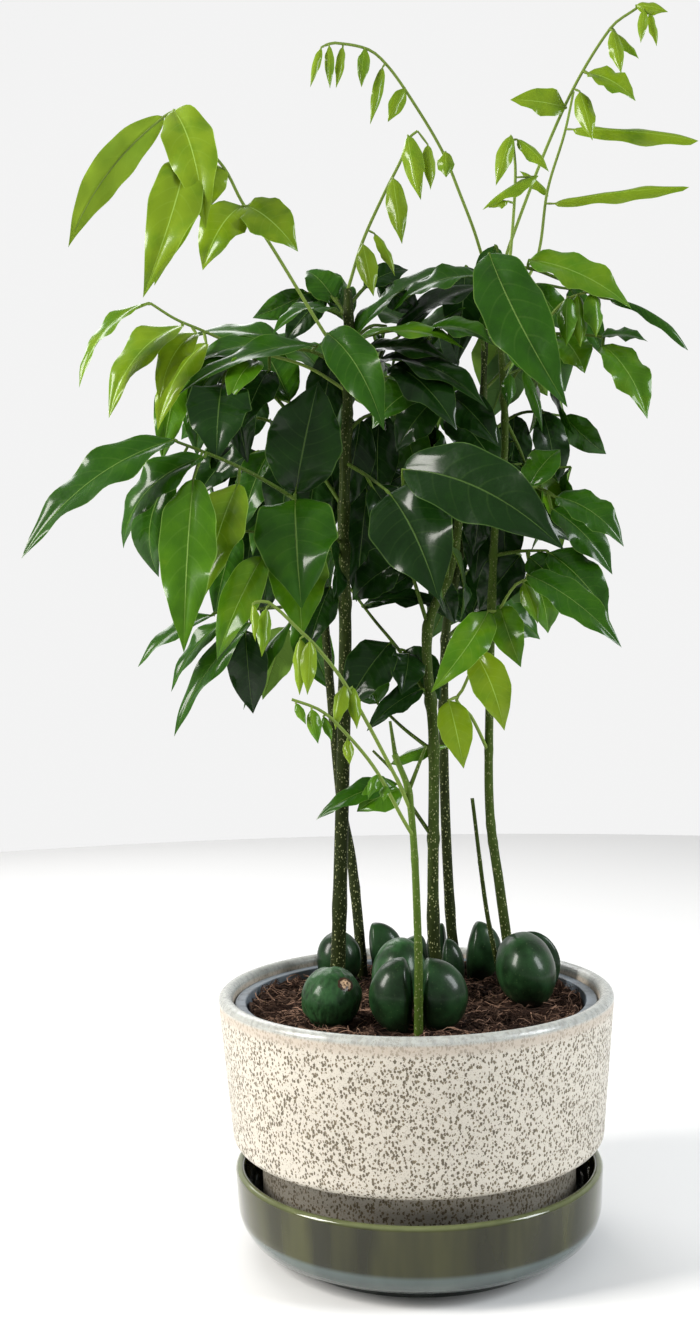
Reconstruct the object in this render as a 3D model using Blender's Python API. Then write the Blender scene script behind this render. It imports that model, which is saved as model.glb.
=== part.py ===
"""Potted lucky bean plant: six leafy seedlings and a bare stub in one pot that stands on its saucer.

Lengths are millimetres, and MM turns them into Blender's metres. The origin is the middle of the
saucer's foot, on the surface that it stands on, with +Z up and the front towards -Y.

A place on the plant is a spot: x and z are where the line of sight from EYE to it crosses the pot's
middle plane, and the third number is its depth behind that plane.
"""

import math
from collections import namedtuple

import bmesh
import bpy
from mathutils import Matrix, Quaternion, Vector
from mathutils.bvhtree import BVHTree

MM = 0.001
EYE = Vector((0, -720, 297))

# Pot, saucer, liner and soil
ROUND_SIDES = 32
REST_GAP = 0.3
HOLE_GAP = 0.9
SAUCER_RADIUS = 93
SAUCER_TOP = 41
SAUCER_WALL = 4.6
SAUCER_FLOOR = 6
SAUCER_FOOT_RADIUS = 72
SAUCER_BEVEL_TOP = 20
SAUCER_BEVEL_FOOT = 9
POT_RADIUS = 100
POT_TOP = 127.6
POT_WALL = 7
POT_FLOOR = 8
POT_SKIRT_RADIUS = 94
POT_SKIRT_FOOT = 52
POT_FOOT_RADIUS = 79.5
LINER_TOP = 122.5
LINER_RADIUS = 91.8
LINER_LIP = 5.6
LINER_WALL = 1.6
LINER_BASE_RADIUS = 67
SOIL_EDGE = 114.5
SOIL_CROWN = 4
BEAN_FLATNESS = 0.3

# Stems, stalks and blades
ROOT_DEPTH = 26
RACHIS_RADIUS = 1.15
RACHIS_TIP_RADIUS = 0.7
YOUNG_RACHIS_RADIUS = 0.95
STALK_RADIUS = 0.75
YOUNG_STALK_RADIUS = 0.5
BLADE_THICKNESS = 1.2
WIDE_BLADE = 24
WIDE_BLADE_ROWS = 5
NARROW_BLADE_ROWS = 4
BLADE_WAVE = 0.14
BLADE_WAVES = 1.6
MATURE_FOLD = 9
YOUNG_FOLD = -30
YOUNG_WIDTH = 13
FLAT_ANGLE = 2
CLEARANCE = 0.5
SWINGS = (0, 4, -4, 8, -8, 12, -12, 16, -16, 21, -21, 27, -27, 34, -34)

Leaf = namedtuple("Leaf", "base tip width turn bow bend", defaults=(0.12, 0))
Frond = namedtuple("Frond", "rachis leaves")
Seedling = namedtuple("Seedling", "root radii stem fronds")
Shoot = namedtuple("Shoot", "carrier fronds")
Bean = namedtuple("Bean", "centre half_size flat_side lean")

# A seedling's root is its x and y in the soil, and its radii are those at the foot and at the top.
# A leaf runs from base to tip, with its greatest width. Its turn is how far the upper side is turned
# from facing the front, its bow how far the midrib rises on that side, and its bend how far it
# bends sideways, both as parts of its length.
SEEDLINGS = {
    "seedling_left": Seedling((-41.5, 30), (4.6, 2.2), [
        (-38, 162, 31), (-32, 305, 34), (-32, 356, 35), (-27, 452, 36), (-27, 483, 38)
    ], [
        Frond([(-32, 353, 34), (-54, 375, 8), (-73, 388, -14), (-90, 397, -26), (-106, 404, -30),
               (-116, 408, -34)], [
            Leaf((-117, 409, -36), (-197, 349, -58), 25, 50, bow=0.13),
            Leaf((-102, 400, -32), (-145, 354, -22), 25, 40, bow=0.2),
            Leaf((-118, 392, -22), (-127, 339, -8), 25, -20, bend=-0.1),
            Leaf((-108, 389, -40), (-115, 300, -64), 28, 0, bow=0.06),
            Leaf((-85, 386, -28), (-104, 328, -40), 25, -12, bow=0.1),
            Leaf((-56, 377, -4), (-54, 321, -36), 42, 0),
            Leaf((-56, 380, 6), (-43, 437, 10), 40, 0, bow=0.1),
        ]),
        Frond([(-32, 350, 34), (-45, 353, 18), (-59, 353, 0), (-70, 353, -16)], [
            Leaf((-73, 349, -26), (-98, 296, -34), 20, 10, bow=0.1),
            Leaf((-55, 357, 6), (-54, 307, -14), 31, 0, bow=0.1),
        ]),
        Frond([(-27, 452, 36), (-33, 459, 20)], [
            Leaf((-38, 461, 10), (-10, 411, -12), 25, 0, bow=0.14, bend=0.06),
        ]),
        Frond([(-27, 438, 36), (-43, 451, 20), (-59, 454, 16), (-78, 454, 10), (-91, 442, 2)], [
            Leaf((-43, 455, 10), (-115, 432, -6), 22, 52, bow=0.1),
            Leaf((-59, 457, 24), (-118, 457, 40), 20, 58, bow=0.1),
            Leaf((-60, 457, 30), (-126, 436, 22), 22, 52, bow=0.1),
            Leaf((-83, 454, 20), (-111, 417, 4), 20, 35),
            Leaf((-92, 437, -2), (-96, 397, -26), 33, 0),
            Leaf((-74, 448, 4), (-89, 427, -14), 18, 20, bow=0.15),
            Leaf((-68, 443, 16), (-82, 414, 0), 22, 10),
        ]),
        Frond([(-27, 462, 37), (-30, 472, 42), (-33, 479, 48)], [
            Leaf((-33, 476, 50), (-48, 493, 60), 20, 20, bow=0.15),
            Leaf((-32, 470, 44), (-66, 461, 22), 20, 55, bow=0.2),
            Leaf((-29, 467, 52), (-42, 494, 84), 22, 30, bow=0.1),
        ]),
        Frond([(-27, 446, 36), (-14, 454, 30), (0, 455, 24), (15, 457, 22)], [
            Leaf((-24, 459, 34), (36, 492, 48), 26, 60),
            Leaf((-2, 458, 40), (46, 482, 60), 24, 50),
            Leaf((13, 461, 14), (47, 452, 6), 22, 50, bow=0.15),
            Leaf((-23, 457, 22), (32, 451, 0), 20, 58),
            Leaf((-19, 451, 22), (25, 444, 12), 24, 52),
            Leaf((-12, 447, 22), (43, 420, -4), 26, 50),
            Leaf((-5, 444, 16), (27, 410, -10), 28, 28),
        ]),
        Frond([(-28, 395, 36), (-19, 388, 18), (-10, 381, -2)], [
            Leaf((-8, 379, -8), (16, 324, -34), 42, 0, bow=0.1, bend=0.04),
            Leaf((-17, 383, 24), (3, 345, 30), 26, 20, bow=0.1),
        ]),
        Frond([(-32, 325, 34), (-50, 323, 24), (-70, 322, 10), (-88, 321, 0), (-99, 320, -4)], [
            Leaf((-100, 319, -6), (-139, 293, -14), 17, 55, bow=0.1),
            Leaf((-92, 317, 6), (-122, 280, 6), 15, 50, bow=0.1),
            Leaf((-80, 315, -2), (-121, 257, -8), 18, 45, bow=0.08),
            Leaf((-83, 311, 9), (-80, 268, 14), 22, 0, bow=0.1),
            Leaf((-59, 315, 14), (-85, 270, 14), 13, 55, bow=0.1),
            Leaf((-39, 332, 18), (-51, 300, 8), 18, 10, bow=0.1),
        ]),
    ]),
    "seedling_back_left": Seedling((-29, 67), (3.2, 1.8), [
        (-31, 191, 76), (-36, 223, 83), (-43, 325, 92), (-45, 356, 92), (-45, 392, 90), (-43, 427, 88)
    ], [
        Frond([(-45, 366, 92), (-59, 377, 92), (-73, 393, 88), (-84, 403, 82)], [
            Leaf((-84, 403, 80), (-107, 378, 64), 24, 20),
            Leaf((-75, 395, 84), (-86, 357, 72), 28, 10),
            Leaf((-63, 381, 90), (-74, 336, 84), 28, 0, bow=0.1),
            Leaf((-56, 374, 94), (-39, 330, 96), 28, 0, bow=0.1),
        ]),
        Frond([(-44, 412, 89), (-57, 426, 98), (-72, 430, 108), (-87, 428, 118)], [
            Leaf((-87, 428, 118), (-114, 409, 126), 26, 30),
            Leaf((-72, 430, 108), (-92, 402, 104), 28, 10),
            Leaf((-58, 427, 98), (-75, 459, 112), 26, 20),
            Leaf((-53, 422, 94), (-53, 387, 78), 28, 0),
        ]),
        Frond([(-43, 426, 88), (-39, 439, 104), (-34, 449, 122), (-32, 454, 140)], [
            Leaf((-32, 454, 140), (-43, 431, 168), 28, 150, bow=0.15),
            Leaf((-37, 444, 114), (-5, 441, 130), 26, 40),
            Leaf((-39, 437, 100), (-71, 461, 128), 26, 50),
            Leaf((-33, 452, 132), (-14, 421, 150), 28, 170),
        ]),
        Frond([(-43, 325, 92), (-55, 320, 108), (-62, 312, 124)], [
            Leaf((-62, 312, 124), (-75, 275, 140), 24, 170),
            Leaf((-55, 320, 108), (-40, 279, 116), 24, 0),
        ]),
    ]),
    "seedling_front": Seedling((1.2, -57), (2.5, 1.3), [
        (2, 151, -58), (-1, 225, -55), (-8, 246, -53)
    ], [
        Frond([(-1, 227, -55), (8, 250, -50)], []),
        Frond([(-8, 245, -53), (-10, 263, -51)], []),
    ]),
    "seedling_centre": Seedling((13, 12), (3.4, 1.8), [
        (10, 156, 13), (12, 253, 20), (10, 309, 24), (22, 339, 28), (27, 366, 30), (27, 400, 32),
        (24, 431, 34)
    ], [
        Frond([(10, 311, 24), (6, 326, 22), (1, 345, 16), (-2, 365, 4), (-1, 384, -10)], [
            Leaf((-1, 391, -16), (80, 348, -44), 38, 8, bend=0.06),
            Leaf((-1, 345, 14), (-28, 325, 30), 26, 30),
            Leaf((-2, 355, 10), (22, 390, 22), 28, 30),
        ]),
        Frond([(11, 272, 22), (-4, 298, 34), (-18, 316, 44), (-34, 338, 54)], [
            Leaf((-9, 303, 24), (-33, 268, 16), 27, 20),
            Leaf((0, 297, 26), (-4, 276, 10), 20, 10),
            Leaf((7, 279, 18), (-22, 258, 4), 16, 40, bow=0.1),
            Leaf((-2, 299, 40), (16, 273, 34), 22, 10),
            Leaf((-23, 322, 44), (22, 318, 30), 20, 62),
        ]),
        Frond([(10, 247, 20), (-3, 259, 26), (-16, 272, 34)], [
            Leaf((-16, 272, 34), (-29, 295, 40), 22, 20),
        ]),
        Frond([(7, 203, 17), (-2, 223, 18), (-9, 237, 20), (-19, 248, 24)], [
            Leaf((-7, 231, 18), (-49, 213, 10), 15, 45),
            Leaf((-6, 228, 16), (-28, 217, 8), 20, 25, bow=0.15),
            Leaf((-10, 241, 20), (21, 250, 30), 10, 40),
        ]),
        Frond([(26, 410, 32), (19, 424, 24), (9, 432, 14)], [
            Leaf((9, 432, 14), (-16, 412, 4), 26, 40),
            Leaf((17, 427, 22), (-4, 400, 26), 24, 20),
            Leaf((24, 428, 28), (48, 401, 10), 22, 10),
            Leaf((24, 418, 30), (48, 387, 16), 28, 20),
        ]),
        Frond([(25, 425, 34), (14, 446, 50), (6, 461, 66)], [
            Leaf((6, 461, 66), (-18, 472, 76), 24, 50),
            Leaf((11, 452, 56), (34, 473, 66), 26, 50),
            Leaf((17, 440, 46), (-5, 457, 56), 24, 50),
        ]),
    ]),
    "seedling_back": Seedling((24, 60), (3.2, 1.6), [
        (19, 158, 61), (17, 240, 66), (19, 304, 68), (24, 333, 70), (32, 366, 72), (39, 405, 76),
        (41, 435, 80), (42, 460, 86)
    ], [
        Frond([(19, 304, 68), (29, 313, 76), (40, 319, 86)], [
            Leaf((40, 319, 86), (67, 303, 96), 26, 40),
            Leaf((29, 312, 76), (6, 324, 92), 28, 60),
            Leaf((32, 315, 80), (47, 344, 90), 28, 20, bow=0.1),
        ]),
        Frond([(28, 350, 71), (15, 360, 84), (2, 365, 98)], [
            Leaf((2, 365, 98), (-23, 345, 110), 28, 30),
            Leaf((12, 361, 88), (-5, 330, 96), 28, 10),
            Leaf((17, 359, 84), (23, 324, 80), 26, 0),
        ]),
        Frond([(35, 385, 74), (48, 393, 88), (63, 398, 100)], [
            Leaf((63, 398, 100), (78, 380, 108), 24, 30),
            Leaf((48, 393, 88), (68, 353, 96), 30, 10),
            Leaf((50, 394, 90), (60, 364, 104), 26, 20),
        ]),
        Frond([(40, 425, 79), (24, 436, 96), (9, 440, 116), (-3, 440, 134)], [
            Leaf((-3, 440, 134), (-29, 427, 150), 26, 150),
            Leaf((8, 439, 118), (-2, 406, 128), 28, 170),
            Leaf((19, 437, 102), (14, 466, 120), 26, 40),
            Leaf((24, 434, 96), (33, 400, 104), 28, 0),
        ]),
        Frond([(41, 453, 84), (50, 460, 104), (56, 462, 124)], [
            Leaf((56, 462, 124), (80, 444, 140), 26, 150),
            Leaf((50, 459, 106), (68, 475, 112), 24, 50),
            Leaf((52, 459, 112), (40, 429, 130), 28, 170),
        ]),
        Frond([(24, 333, 70), (32, 339, 92), (36, 344, 116)], [
            Leaf((36, 344, 116), (57, 313, 136), 28, 160),
            Leaf((32, 339, 96), (11, 304, 112), 28, 170),
        ]),
    ]),
    "bare_stub": Seedling((46, 36), (1.6, 1.0), [
        (37, 167, 38), (31, 223, 43)
    ], [
    ]),
    "seedling_right": Seedling((51.5, 20), (3.0, 1.5), [
        (44, 178, 24), (40, 212, 28), (40, 250, 30), (45, 358, 33), (51, 401, 35), (50, 460, 37),
        (51, 485, 38)
    ], [
        Frond([(50, 466, 37), (48, 480, 22), (46, 495, 4)], [
            Leaf((45, 499, -6), (83, 420, -34), 33, 0, bow=0.1, bend=-0.04),
            Leaf((39, 488, 14), (-5, 471, 26), 24, 55),
        ]),
        Frond([(51, 480, 38), (60, 491, 28), (80, 485, 27), (100, 475, 22)], [
            Leaf((65, 495, 16), (116, 469, 4), 25, 30, bow=0.1),
            Leaf((105, 474, 18), (144, 447, 10), 8, 35, bow=0.14),
        ]),
        Frond([(51, 453, 36), (70, 457, 34), (87, 457, 30), (102, 455, 24)], [
            Leaf((101, 451, 20), (123, 413, 6), 24, 25),
            Leaf((100, 455, 26), (124, 452, 22), 16, 55, bow=0.1),
            Leaf((80, 456, 32), (92, 437, 26), 22, 20),
            Leaf((68, 456, 40), (82, 428, 48), 24, 10),
        ]),
        Frond([(51, 425, 35), (58, 439, 30), (64, 443, 24)], [
            Leaf((54, 438, 20), (53, 421, 14), 9, 0, bow=0.1),
            Leaf((61, 440, 20), (70, 408, 16), 8, 20, bow=0.1),
        ]),
        Frond([(49, 384, 34), (61, 382, 26), (72, 378, 20)], [
            Leaf((76, 375, 16), (110, 349, 6), 23, 32, bow=0.16),
            Leaf((63, 381, 14), (79, 399, 20), 20, 30),
            Leaf((74, 369, 26), (104, 335, 22), 22, 28),
            Leaf((58, 382, 40), (86, 363, 52), 24, 40),
        ]),
        Frond([(45, 346, 33), (58, 348, 28), (71, 348, 24)], [
            Leaf((72, 347, 22), (102, 312, 16), 26, 24),
            Leaf((62, 345, 26), (80, 323, 24), 22, 20),
            Leaf((58, 346, 40), (36, 318, 50), 24, 10),
            Leaf((63, 338, 36), (71, 306, 40), 22, 20),
        ]),
        Frond([(50, 415, 35), (59, 398, 58), (64, 382, 80)], [
            Leaf((64, 382, 80), (79, 349, 98), 26, 160),
            Leaf((61, 391, 66), (47, 360, 80), 26, 10),
            Leaf((56, 404, 50), (35, 390, 62), 24, 30),
        ]),
        Frond([(50, 425, 36), (54, 439, 64), (57, 446, 92), (58, 450, 116)], [
            Leaf((58, 450, 116), (73, 426, 142), 28, 160),
            Leaf((58, 448, 104), (44, 415, 126), 28, 170),
            Leaf((55, 442, 78), (70, 460, 98), 24, 130),
        ]),
    ]),
}

# Young light green shoots, each on one of the seedlings
SHOOTS = {
    "shoot_upper_left": Shoot("seedling_left", [
        Frond([(-27, 444, 36), (-38, 459, 18), (-66, 507, 6), (-80, 529, 0), (-89, 547, -4),
               (-102, 562, -8), (-113, 577, -4)], [
            Leaf((-119, 574, -4), (-170, 509, -20), 19, 150, bow=0.05, bend=0.06),
            Leaf((-114, 577, -8), (-99, 516, -26), 26, 0, bow=0.14, bend=0.06),
            Leaf((-108, 553, -12), (-132, 482, -34), 26, 0, bow=0.16, bend=0.06),
            Leaf((-98, 551, 2), (-126, 488, -10), 20, 0, bow=0.1),
            Leaf((-94, 549, 0), (-100, 524, -8), 16, 20, bow=0.2),
            Leaf((-80, 528, -2), (-101, 498, -12), 20, 25, bow=0.22),
            Leaf((-78, 528, -4), (-52, 507, -12), 17, 40, bow=0.2),
        ]),
    ]),
    "shoot_left": Shoot("seedling_left", [
        Frond([(-28, 431, 36), (-50, 445, 52), (-81, 455, 44), (-103, 465, 22), (-116, 471, 2),
               (-128, 479, -12)], [
            Leaf((-130, 479, -14), (-166, 437, -30), 15, 60, bow=0.16),
            Leaf((-112, 467, 8), (-151, 421, -16), 24, 48, bow=0.2),
            Leaf((-105, 463, 14), (-125, 428, -4), 18, 20, bow=0.18),
            Leaf((-100, 458, 22), (-126, 414, 8), 20, 25, bow=0.15),
        ]),
    ]),
    "shoot_low_left": Shoot("seedling_front", [
        Frond([(0, 217, -55), (-8, 235, -60), (-33, 283, -70), (-48, 303, -74), (-55, 310, -76),
               (-71, 325, -80), (-78, 325, -82)], [
            Leaf((-79, 324, -84), (-78, 305, -88), 6, -40, bow=0.05),
            Leaf((-72, 322, -79), (-75, 297, -84), 8, 20, bow=0.05),
            Leaf((-55, 306, -73), (-56, 277, -76), 9, -20, bow=0.05),
            Leaf((-50, 305, -78), (-52, 277, -80), 9, 10, bow=0.05),
            Leaf((-33, 282, -70), (-38, 259, -74), 9, -25, bow=0.1),
            Leaf((-29, 281, -67), (-27, 259, -72), 8, 20, bow=0.1),
        ]),
    ]),
    "shoot_low_centre": Shoot("seedling_front", [
        Frond([(1, 204, -56), (-4, 212, -62), (-19, 240, -70), (-38, 263, -76), (-47, 270, -78),
               (-60, 275, -80)], [
            Leaf((-58, 273, -80), (-53, 262, -84), 5, 10, bow=0.1),
            Leaf((-50, 270, -80), (-47, 252, -84), 8, 0, bow=0.1),
            Leaf((-44, 266, -76), (-40, 253, -80), 5, 20, bow=0.1),
            Leaf((-32, 254, -74), (-31, 241, -78), 6, 0, bow=0.1),
            Leaf((-17, 236, -70), (-22, 223, -74), 6, 10, bow=0.2),
            Leaf((-13, 230, -68), (-14, 222, -74), 6, -10, bow=0.2),
        ]),
    ]),
    "shoot_top_centre": Shoot("seedling_left", [
        Frond([(-27, 485, 38), (-19, 507, 34), (-7, 532, 30), (2, 549, 26), (5, 558, 24),
               (10, 562, 23)], [
            Leaf((-19, 506, 30), (-14, 479, 22), 13, 0, bow=0.1),
            Leaf((-13, 511, 35), (-3, 489, 34), 8, 30),
            Leaf((-3, 539, 26), (1, 505, 18), 13, 0, bow=0.08),
            Leaf((5, 560, 20), (11, 527, 13), 13, -15, bow=0.08),
            Leaf((15, 555, 26), (16, 532, 22), 9, 20, bow=0.08),
        ]),
    ]),
    "shoot_top_arch": Shoot("seedling_back", [
        Frond([(42, 462, 86), (44, 483, 78), (39, 506, 66), (31, 529, 56), (22, 552, 48), (6, 580, 38),
               (-5, 596, 32), (-14, 604, 28), (-31, 608, 20), (-36, 607, 18)], [
            Leaf((-38, 606, 16), (-44, 586, 12), 5, 0, bow=0.08),
            Leaf((-34, 607, 18), (-34, 585, 14), 6, 0, bow=0.06),
            Leaf((-27, 606, 22), (-31, 585, 18), 6, 25, bow=0.08),
            Leaf((-16, 605, 26), (-18, 585, 22), 8, -10, bow=0.06),
            Leaf((-7, 595, 30), (-14, 566, 26), 7, 10, bow=0.08),
            Leaf((4, 584, 36), (-5, 567, 32), 10, -15, bow=0.06),
            Leaf((24, 551, 46), (24, 538, 42), 11, 0, bow=0.06),
        ]),
    ]),
    "shoot_top_right": Shoot("seedling_right", [
        Frond([(51, 487, 38), (55, 502, 36), (84, 571, 24), (108, 610, 16), (122, 620, 12)], [
            Leaf((121, 621, 10), (137, 617, 6), 8, 0, bow=0.1),
            Leaf((125, 619, 8), (123, 602, 4), 6, -10, bow=0.06),
            Leaf((128, 617, 12), (131, 600, 10), 6, 20, bow=0.06),
            Leaf((109, 609, 14), (113, 587, 8), 9, 0, bow=0.06),
            Leaf((111, 607, 20), (122, 594, 18), 8, 30, bow=0.06),
            Leaf((96, 588, 20), (119, 574, 14), 15, 55),
            Leaf((85, 572, 22), (62, 579, 16), 14, 30, bow=0.1),
            Leaf((92, 579, 21), (96, 561, 16), 11, 0, bow=0.08),
        ]),
    ]),
    "shoot_tall_right": Shoot("seedling_right", [
        Frond([(51, 467, 37), (63, 484, 52), (70, 499, 56), (75, 530, 52), (84, 558, 46),
               (89, 579, 42)], [
            Leaf((88, 558, 42), (150, 551, 22), 16, 58, bow=0.05),
            Leaf((78, 522, 50), (145, 528, 30), 14, 62, bow=0.05),
            Leaf((75, 527, 56), (61, 540, 64), 9, 40, bow=0.1),
        ]),
    ]),
    "shoot_small_right": Shoot("seedling_right", [
        Frond([(50, 460, 37), (53, 480, 12), (56, 501, 8), (59, 539, 4), (58, 556, 2)], [
            Leaf((57, 558, 0), (51, 539, -4), 8, 0, bow=0.1),
            Leaf((60, 556, 2), (72, 544, -2), 7, 20, bow=0.1),
            Leaf((59, 527, 7), (75, 537, 2), 9, 35, bow=0.1),
            Leaf((55, 525, 1), (45, 522, -2), 6, 30, bow=0.1),
        ]),
    ]),
    "shoot_hanging_right": Shoot("seedling_right", [
        Frond([(51, 439, 36), (70, 460, 18), (83, 474, 8), (98, 479, 4)], [
            Leaf((84, 476, 2), (83, 451, -2), 12, -15, bow=0.06),
            Leaf((89, 477, 4), (90, 450, 0), 12, 10, bow=0.06),
            Leaf((97, 478, 2), (98, 455, -2), 13, 20, bow=0.06),
        ]),
    ]),
    "shoot_middle_right": Shoot("seedling_right", [
        Frond([(39, 246, 30), (31, 265, 20), (24, 273, 14), (27, 278, 10), (35, 295, 2), (46, 317, -6),
               (55, 331, -12), (62, 334, -14)], [
            Leaf((20, 273, 8), (27, 238, -4), 18, 5, bow=0.1),
            Leaf((34, 297, -4), (48, 257, -16), 20, 0, bend=0.04),
            Leaf((41, 318, -12), (11, 277, -32), 19, 10, bow=0.14, bend=0.05),
            Leaf((47, 320, -6), (57, 289, -18), 18, -10),
            Leaf((59, 332, -14), (66, 311, -22), 10, 10, bow=0.1),
            Leaf((61, 336, -15), (108, 298, -30), 20, 25),
        ]),
    ]),
}

# Each seed split into two halves, with the flat side of each towards the stem between them
BEANS = {
    "bean_front_left": Bean((-41, -38, 130), (15, 11, 15.5), 90, 24),
    "bean_front_pair_left": Bean((-12, -44, 133), (10.2, 13.5, 18.4), 0, 0),
    "bean_front_pair_right": Bean((14, -44, 132.8), (11.2, 13.5, 18.2), 180, 0),
    "bean_centre_left": Bean((-8, -8, 133.6), (14, 12, 19.1), 90, 6),
    "bean_centre_right": Bean((20.5, 27.5, 130.3), (6, 8, 15.8), 180, 0),
    "bean_back_centre": Bean((-2, 38, 130.2), (9.7, 9, 15.7), 0, 0),
    "bean_back_left": Bean((-41.5, 50.5, 129.8), (12.4, 8, 15.4), 90, 0),
    "bean_back_left_inner": Bean((-15, 62, 131.8), (9.5, 9, 17.3), 180, -8),
    "bean_back_right": Bean((38.5, 59, 131.5), (9.6, 9, 17), 180, 8),
    "bean_back_inner": Bean((12.5, 69, 130.4), (6, 8, 15.9), 0, 0),
    "bean_right_front": Bean((57, -1.5, 134), (15.2, 14, 19.5), 90, -14),
    "bean_right_back": Bean((63, 36, 131.3), (14.2, 9, 17), -90, -10),
}

SEEDLING_COLOURS = {
    "seedling_left": (0.022, 0.075, 0.016),
    "seedling_back_left": (0.016, 0.050, 0.014),
    "seedling_front": (0.070, 0.190, 0.025),
    "seedling_centre": (0.024, 0.085, 0.018),
    "seedling_back": (0.018, 0.060, 0.015),
    "bare_stub": (0.050, 0.120, 0.035),
    "seedling_right": (0.028, 0.095, 0.018),
}
YOUNG_LEAF = (0.20, 0.42, 0.03)


def clear_scene():
    for old in list(bpy.data.objects):
        bpy.data.objects.remove(old)


def principled(name, colour, roughness, coat=0.0):
    material = bpy.data.materials.new(name)
    material.use_nodes = True
    shader = material.node_tree.nodes["Principled BSDF"]
    shader.inputs["Base Color"].default_value = (*colour, 1)
    shader.inputs["Roughness"].default_value = roughness
    shader.inputs["Metallic"].default_value = 0
    shader.inputs["Coat Weight"].default_value = coat
    return material


def new_object(name, mesh, material=None):
    made = bpy.data.objects.new(name, mesh)
    bpy.context.scene.collection.objects.link(made)
    if material:
        mesh.materials.append(material)
    return made


def mesh_from(bm, name, smooth_angle=40):
    bmesh.ops.recalc_face_normals(bm, faces=bm.faces)
    mesh = bpy.data.meshes.new(name)
    bm.to_mesh(mesh)
    bm.free()
    mesh.shade_smooth()
    mesh.set_sharp_from_angle(angle=math.radians(smooth_angle))
    return mesh


def turned(name, outline):
    """A body of revolution from an outline of (radius, height) that starts and ends on the axis."""
    bm = bmesh.new()
    profile = [bm.verts.new((radius * MM, 0, height * MM)) for radius, height in outline]
    edges = [bm.edges.new(pair) for pair in zip(profile, profile[1:])]
    bmesh.ops.spin(bm, geom=profile + edges, axis=(0, 0, 1), cent=(0, 0, 0),
                   angle=math.tau, steps=ROUND_SIDES)
    bmesh.ops.remove_doubles(bm, verts=bm.verts, dist=1e-6)
    return mesh_from(bm, name)


def arc(centre, radius, start, end, steps):
    """Points of an arc in the outline's plane, with angles in degrees from the outward direction."""
    points = []
    for step in range(steps + 1):
        angle = math.radians(start + (end - start) * step / steps)
        points.append((centre[0] + radius * math.cos(angle), centre[1] + radius * math.sin(angle)))
    return points


def saucer_mesh():
    lip = SAUCER_WALL / 2
    inner = SAUCER_RADIUS - SAUCER_WALL
    outline = [
        (0, 0),
        (SAUCER_FOOT_RADIUS, 0),
        (SAUCER_FOOT_RADIUS + 3, SAUCER_BEVEL_FOOT - 4),
        (SAUCER_RADIUS - 6, SAUCER_BEVEL_FOOT),
        (SAUCER_RADIUS - 1, SAUCER_BEVEL_TOP),
        *arc((SAUCER_RADIUS - lip, SAUCER_TOP - lip), lip, 0, 180, 3),
        (inner - 3, SAUCER_FLOOR + 6),
        (inner - 9, SAUCER_FLOOR),
        (0, SAUCER_FLOOR),
    ]
    return turned("saucer", outline)


def pot_mesh():
    base = SAUCER_FLOOR + REST_GAP
    lip = POT_WALL / 2
    floor = base + POT_FLOOR
    outline = [
        (0, base),
        (POT_FOOT_RADIUS - 2, base),
        (POT_FOOT_RADIUS, base + 2),
        (POT_FOOT_RADIUS, POT_SKIRT_FOOT),
        (POT_SKIRT_RADIUS - 4, POT_SKIRT_FOOT),
        (POT_SKIRT_RADIUS, POT_SKIRT_FOOT + 4),
        *arc((POT_RADIUS - lip, POT_TOP - lip), lip, 0, 180, 3),
        (POT_SKIRT_RADIUS - POT_WALL - 6, POT_SKIRT_FOOT + 6),
        (POT_FOOT_RADIUS - POT_WALL, floor),
        (0, floor),
    ]
    return turned("pot", outline)


def liner_floor():
    return SAUCER_FLOOR + REST_GAP + POT_FLOOR + REST_GAP


def liner_mesh():
    base = liner_floor()
    inner = LINER_RADIUS - LINER_LIP
    lip_foot = LINER_TOP - 3
    outline = [
        (0, base),
        (LINER_BASE_RADIUS, base),
        (inner + LINER_WALL - 0.6, lip_foot - 2),
        (LINER_RADIUS, lip_foot),
        (LINER_RADIUS, LINER_TOP - 0.8),
        (LINER_RADIUS - 0.8, LINER_TOP),
        (inner, LINER_TOP),
        (inner - 0.6, lip_foot - 2),
        (LINER_BASE_RADIUS - LINER_WALL, base + LINER_WALL),
        (0, base + LINER_WALL),
    ]
    return turned("liner", outline)


def soil_height(radius):
    edge = LINER_RADIUS - LINER_LIP - 1
    return SOIL_EDGE + SOIL_CROWN * (1 - (radius / edge) ** 2)


def soil_mesh():
    base = liner_floor() + LINER_WALL + REST_GAP
    edge = LINER_RADIUS - LINER_LIP - 1.4
    outline = [
        (0, base),
        (LINER_BASE_RADIUS - LINER_WALL - 0.4, base),
        *((edge * part, soil_height(edge * part)) for part in (1, 0.7, 0.35, 0)),
    ]
    return turned("soil", outline)


def bean_mesh(name, bean, growth=0.0):
    """Half a seed: a ball whose flat side is pressed in, sized to its box, then leaned."""
    bm = bmesh.new()
    bmesh.ops.create_uvsphere(bm, u_segments=10, v_segments=6, radius=1)
    facing = Matrix.Rotation(math.radians(bean.flat_side), 3, "Z") @ Vector((1, 0, 0))
    for vert in bm.verts:
        ahead = vert.co.dot(facing)
        pressed = ahead * BEAN_FLATNESS if ahead > 0 else ahead
        centred = (2 * pressed + 1 - BEAN_FLATNESS) / (1 + BEAN_FLATNESS)
        vert.co += facing * (centred - ahead)
    size = Vector(bean.half_size) + Vector((growth, growth, growth))
    place = Matrix.Translation(Vector(bean.centre) * MM)
    lean = Matrix.Rotation(math.radians(bean.lean), 4, "Y")
    bmesh.ops.transform(bm, matrix=place @ lean @ Matrix.Diagonal((*(size * MM), 1)), verts=bm.verts)
    return mesh_from(bm, name, 60)


def spot(x, z, depth):
    reach = 1 - depth / EYE.y
    return Vector((x * reach, depth, EYE.z + (z - EYE.z) * reach)) * MM


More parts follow.
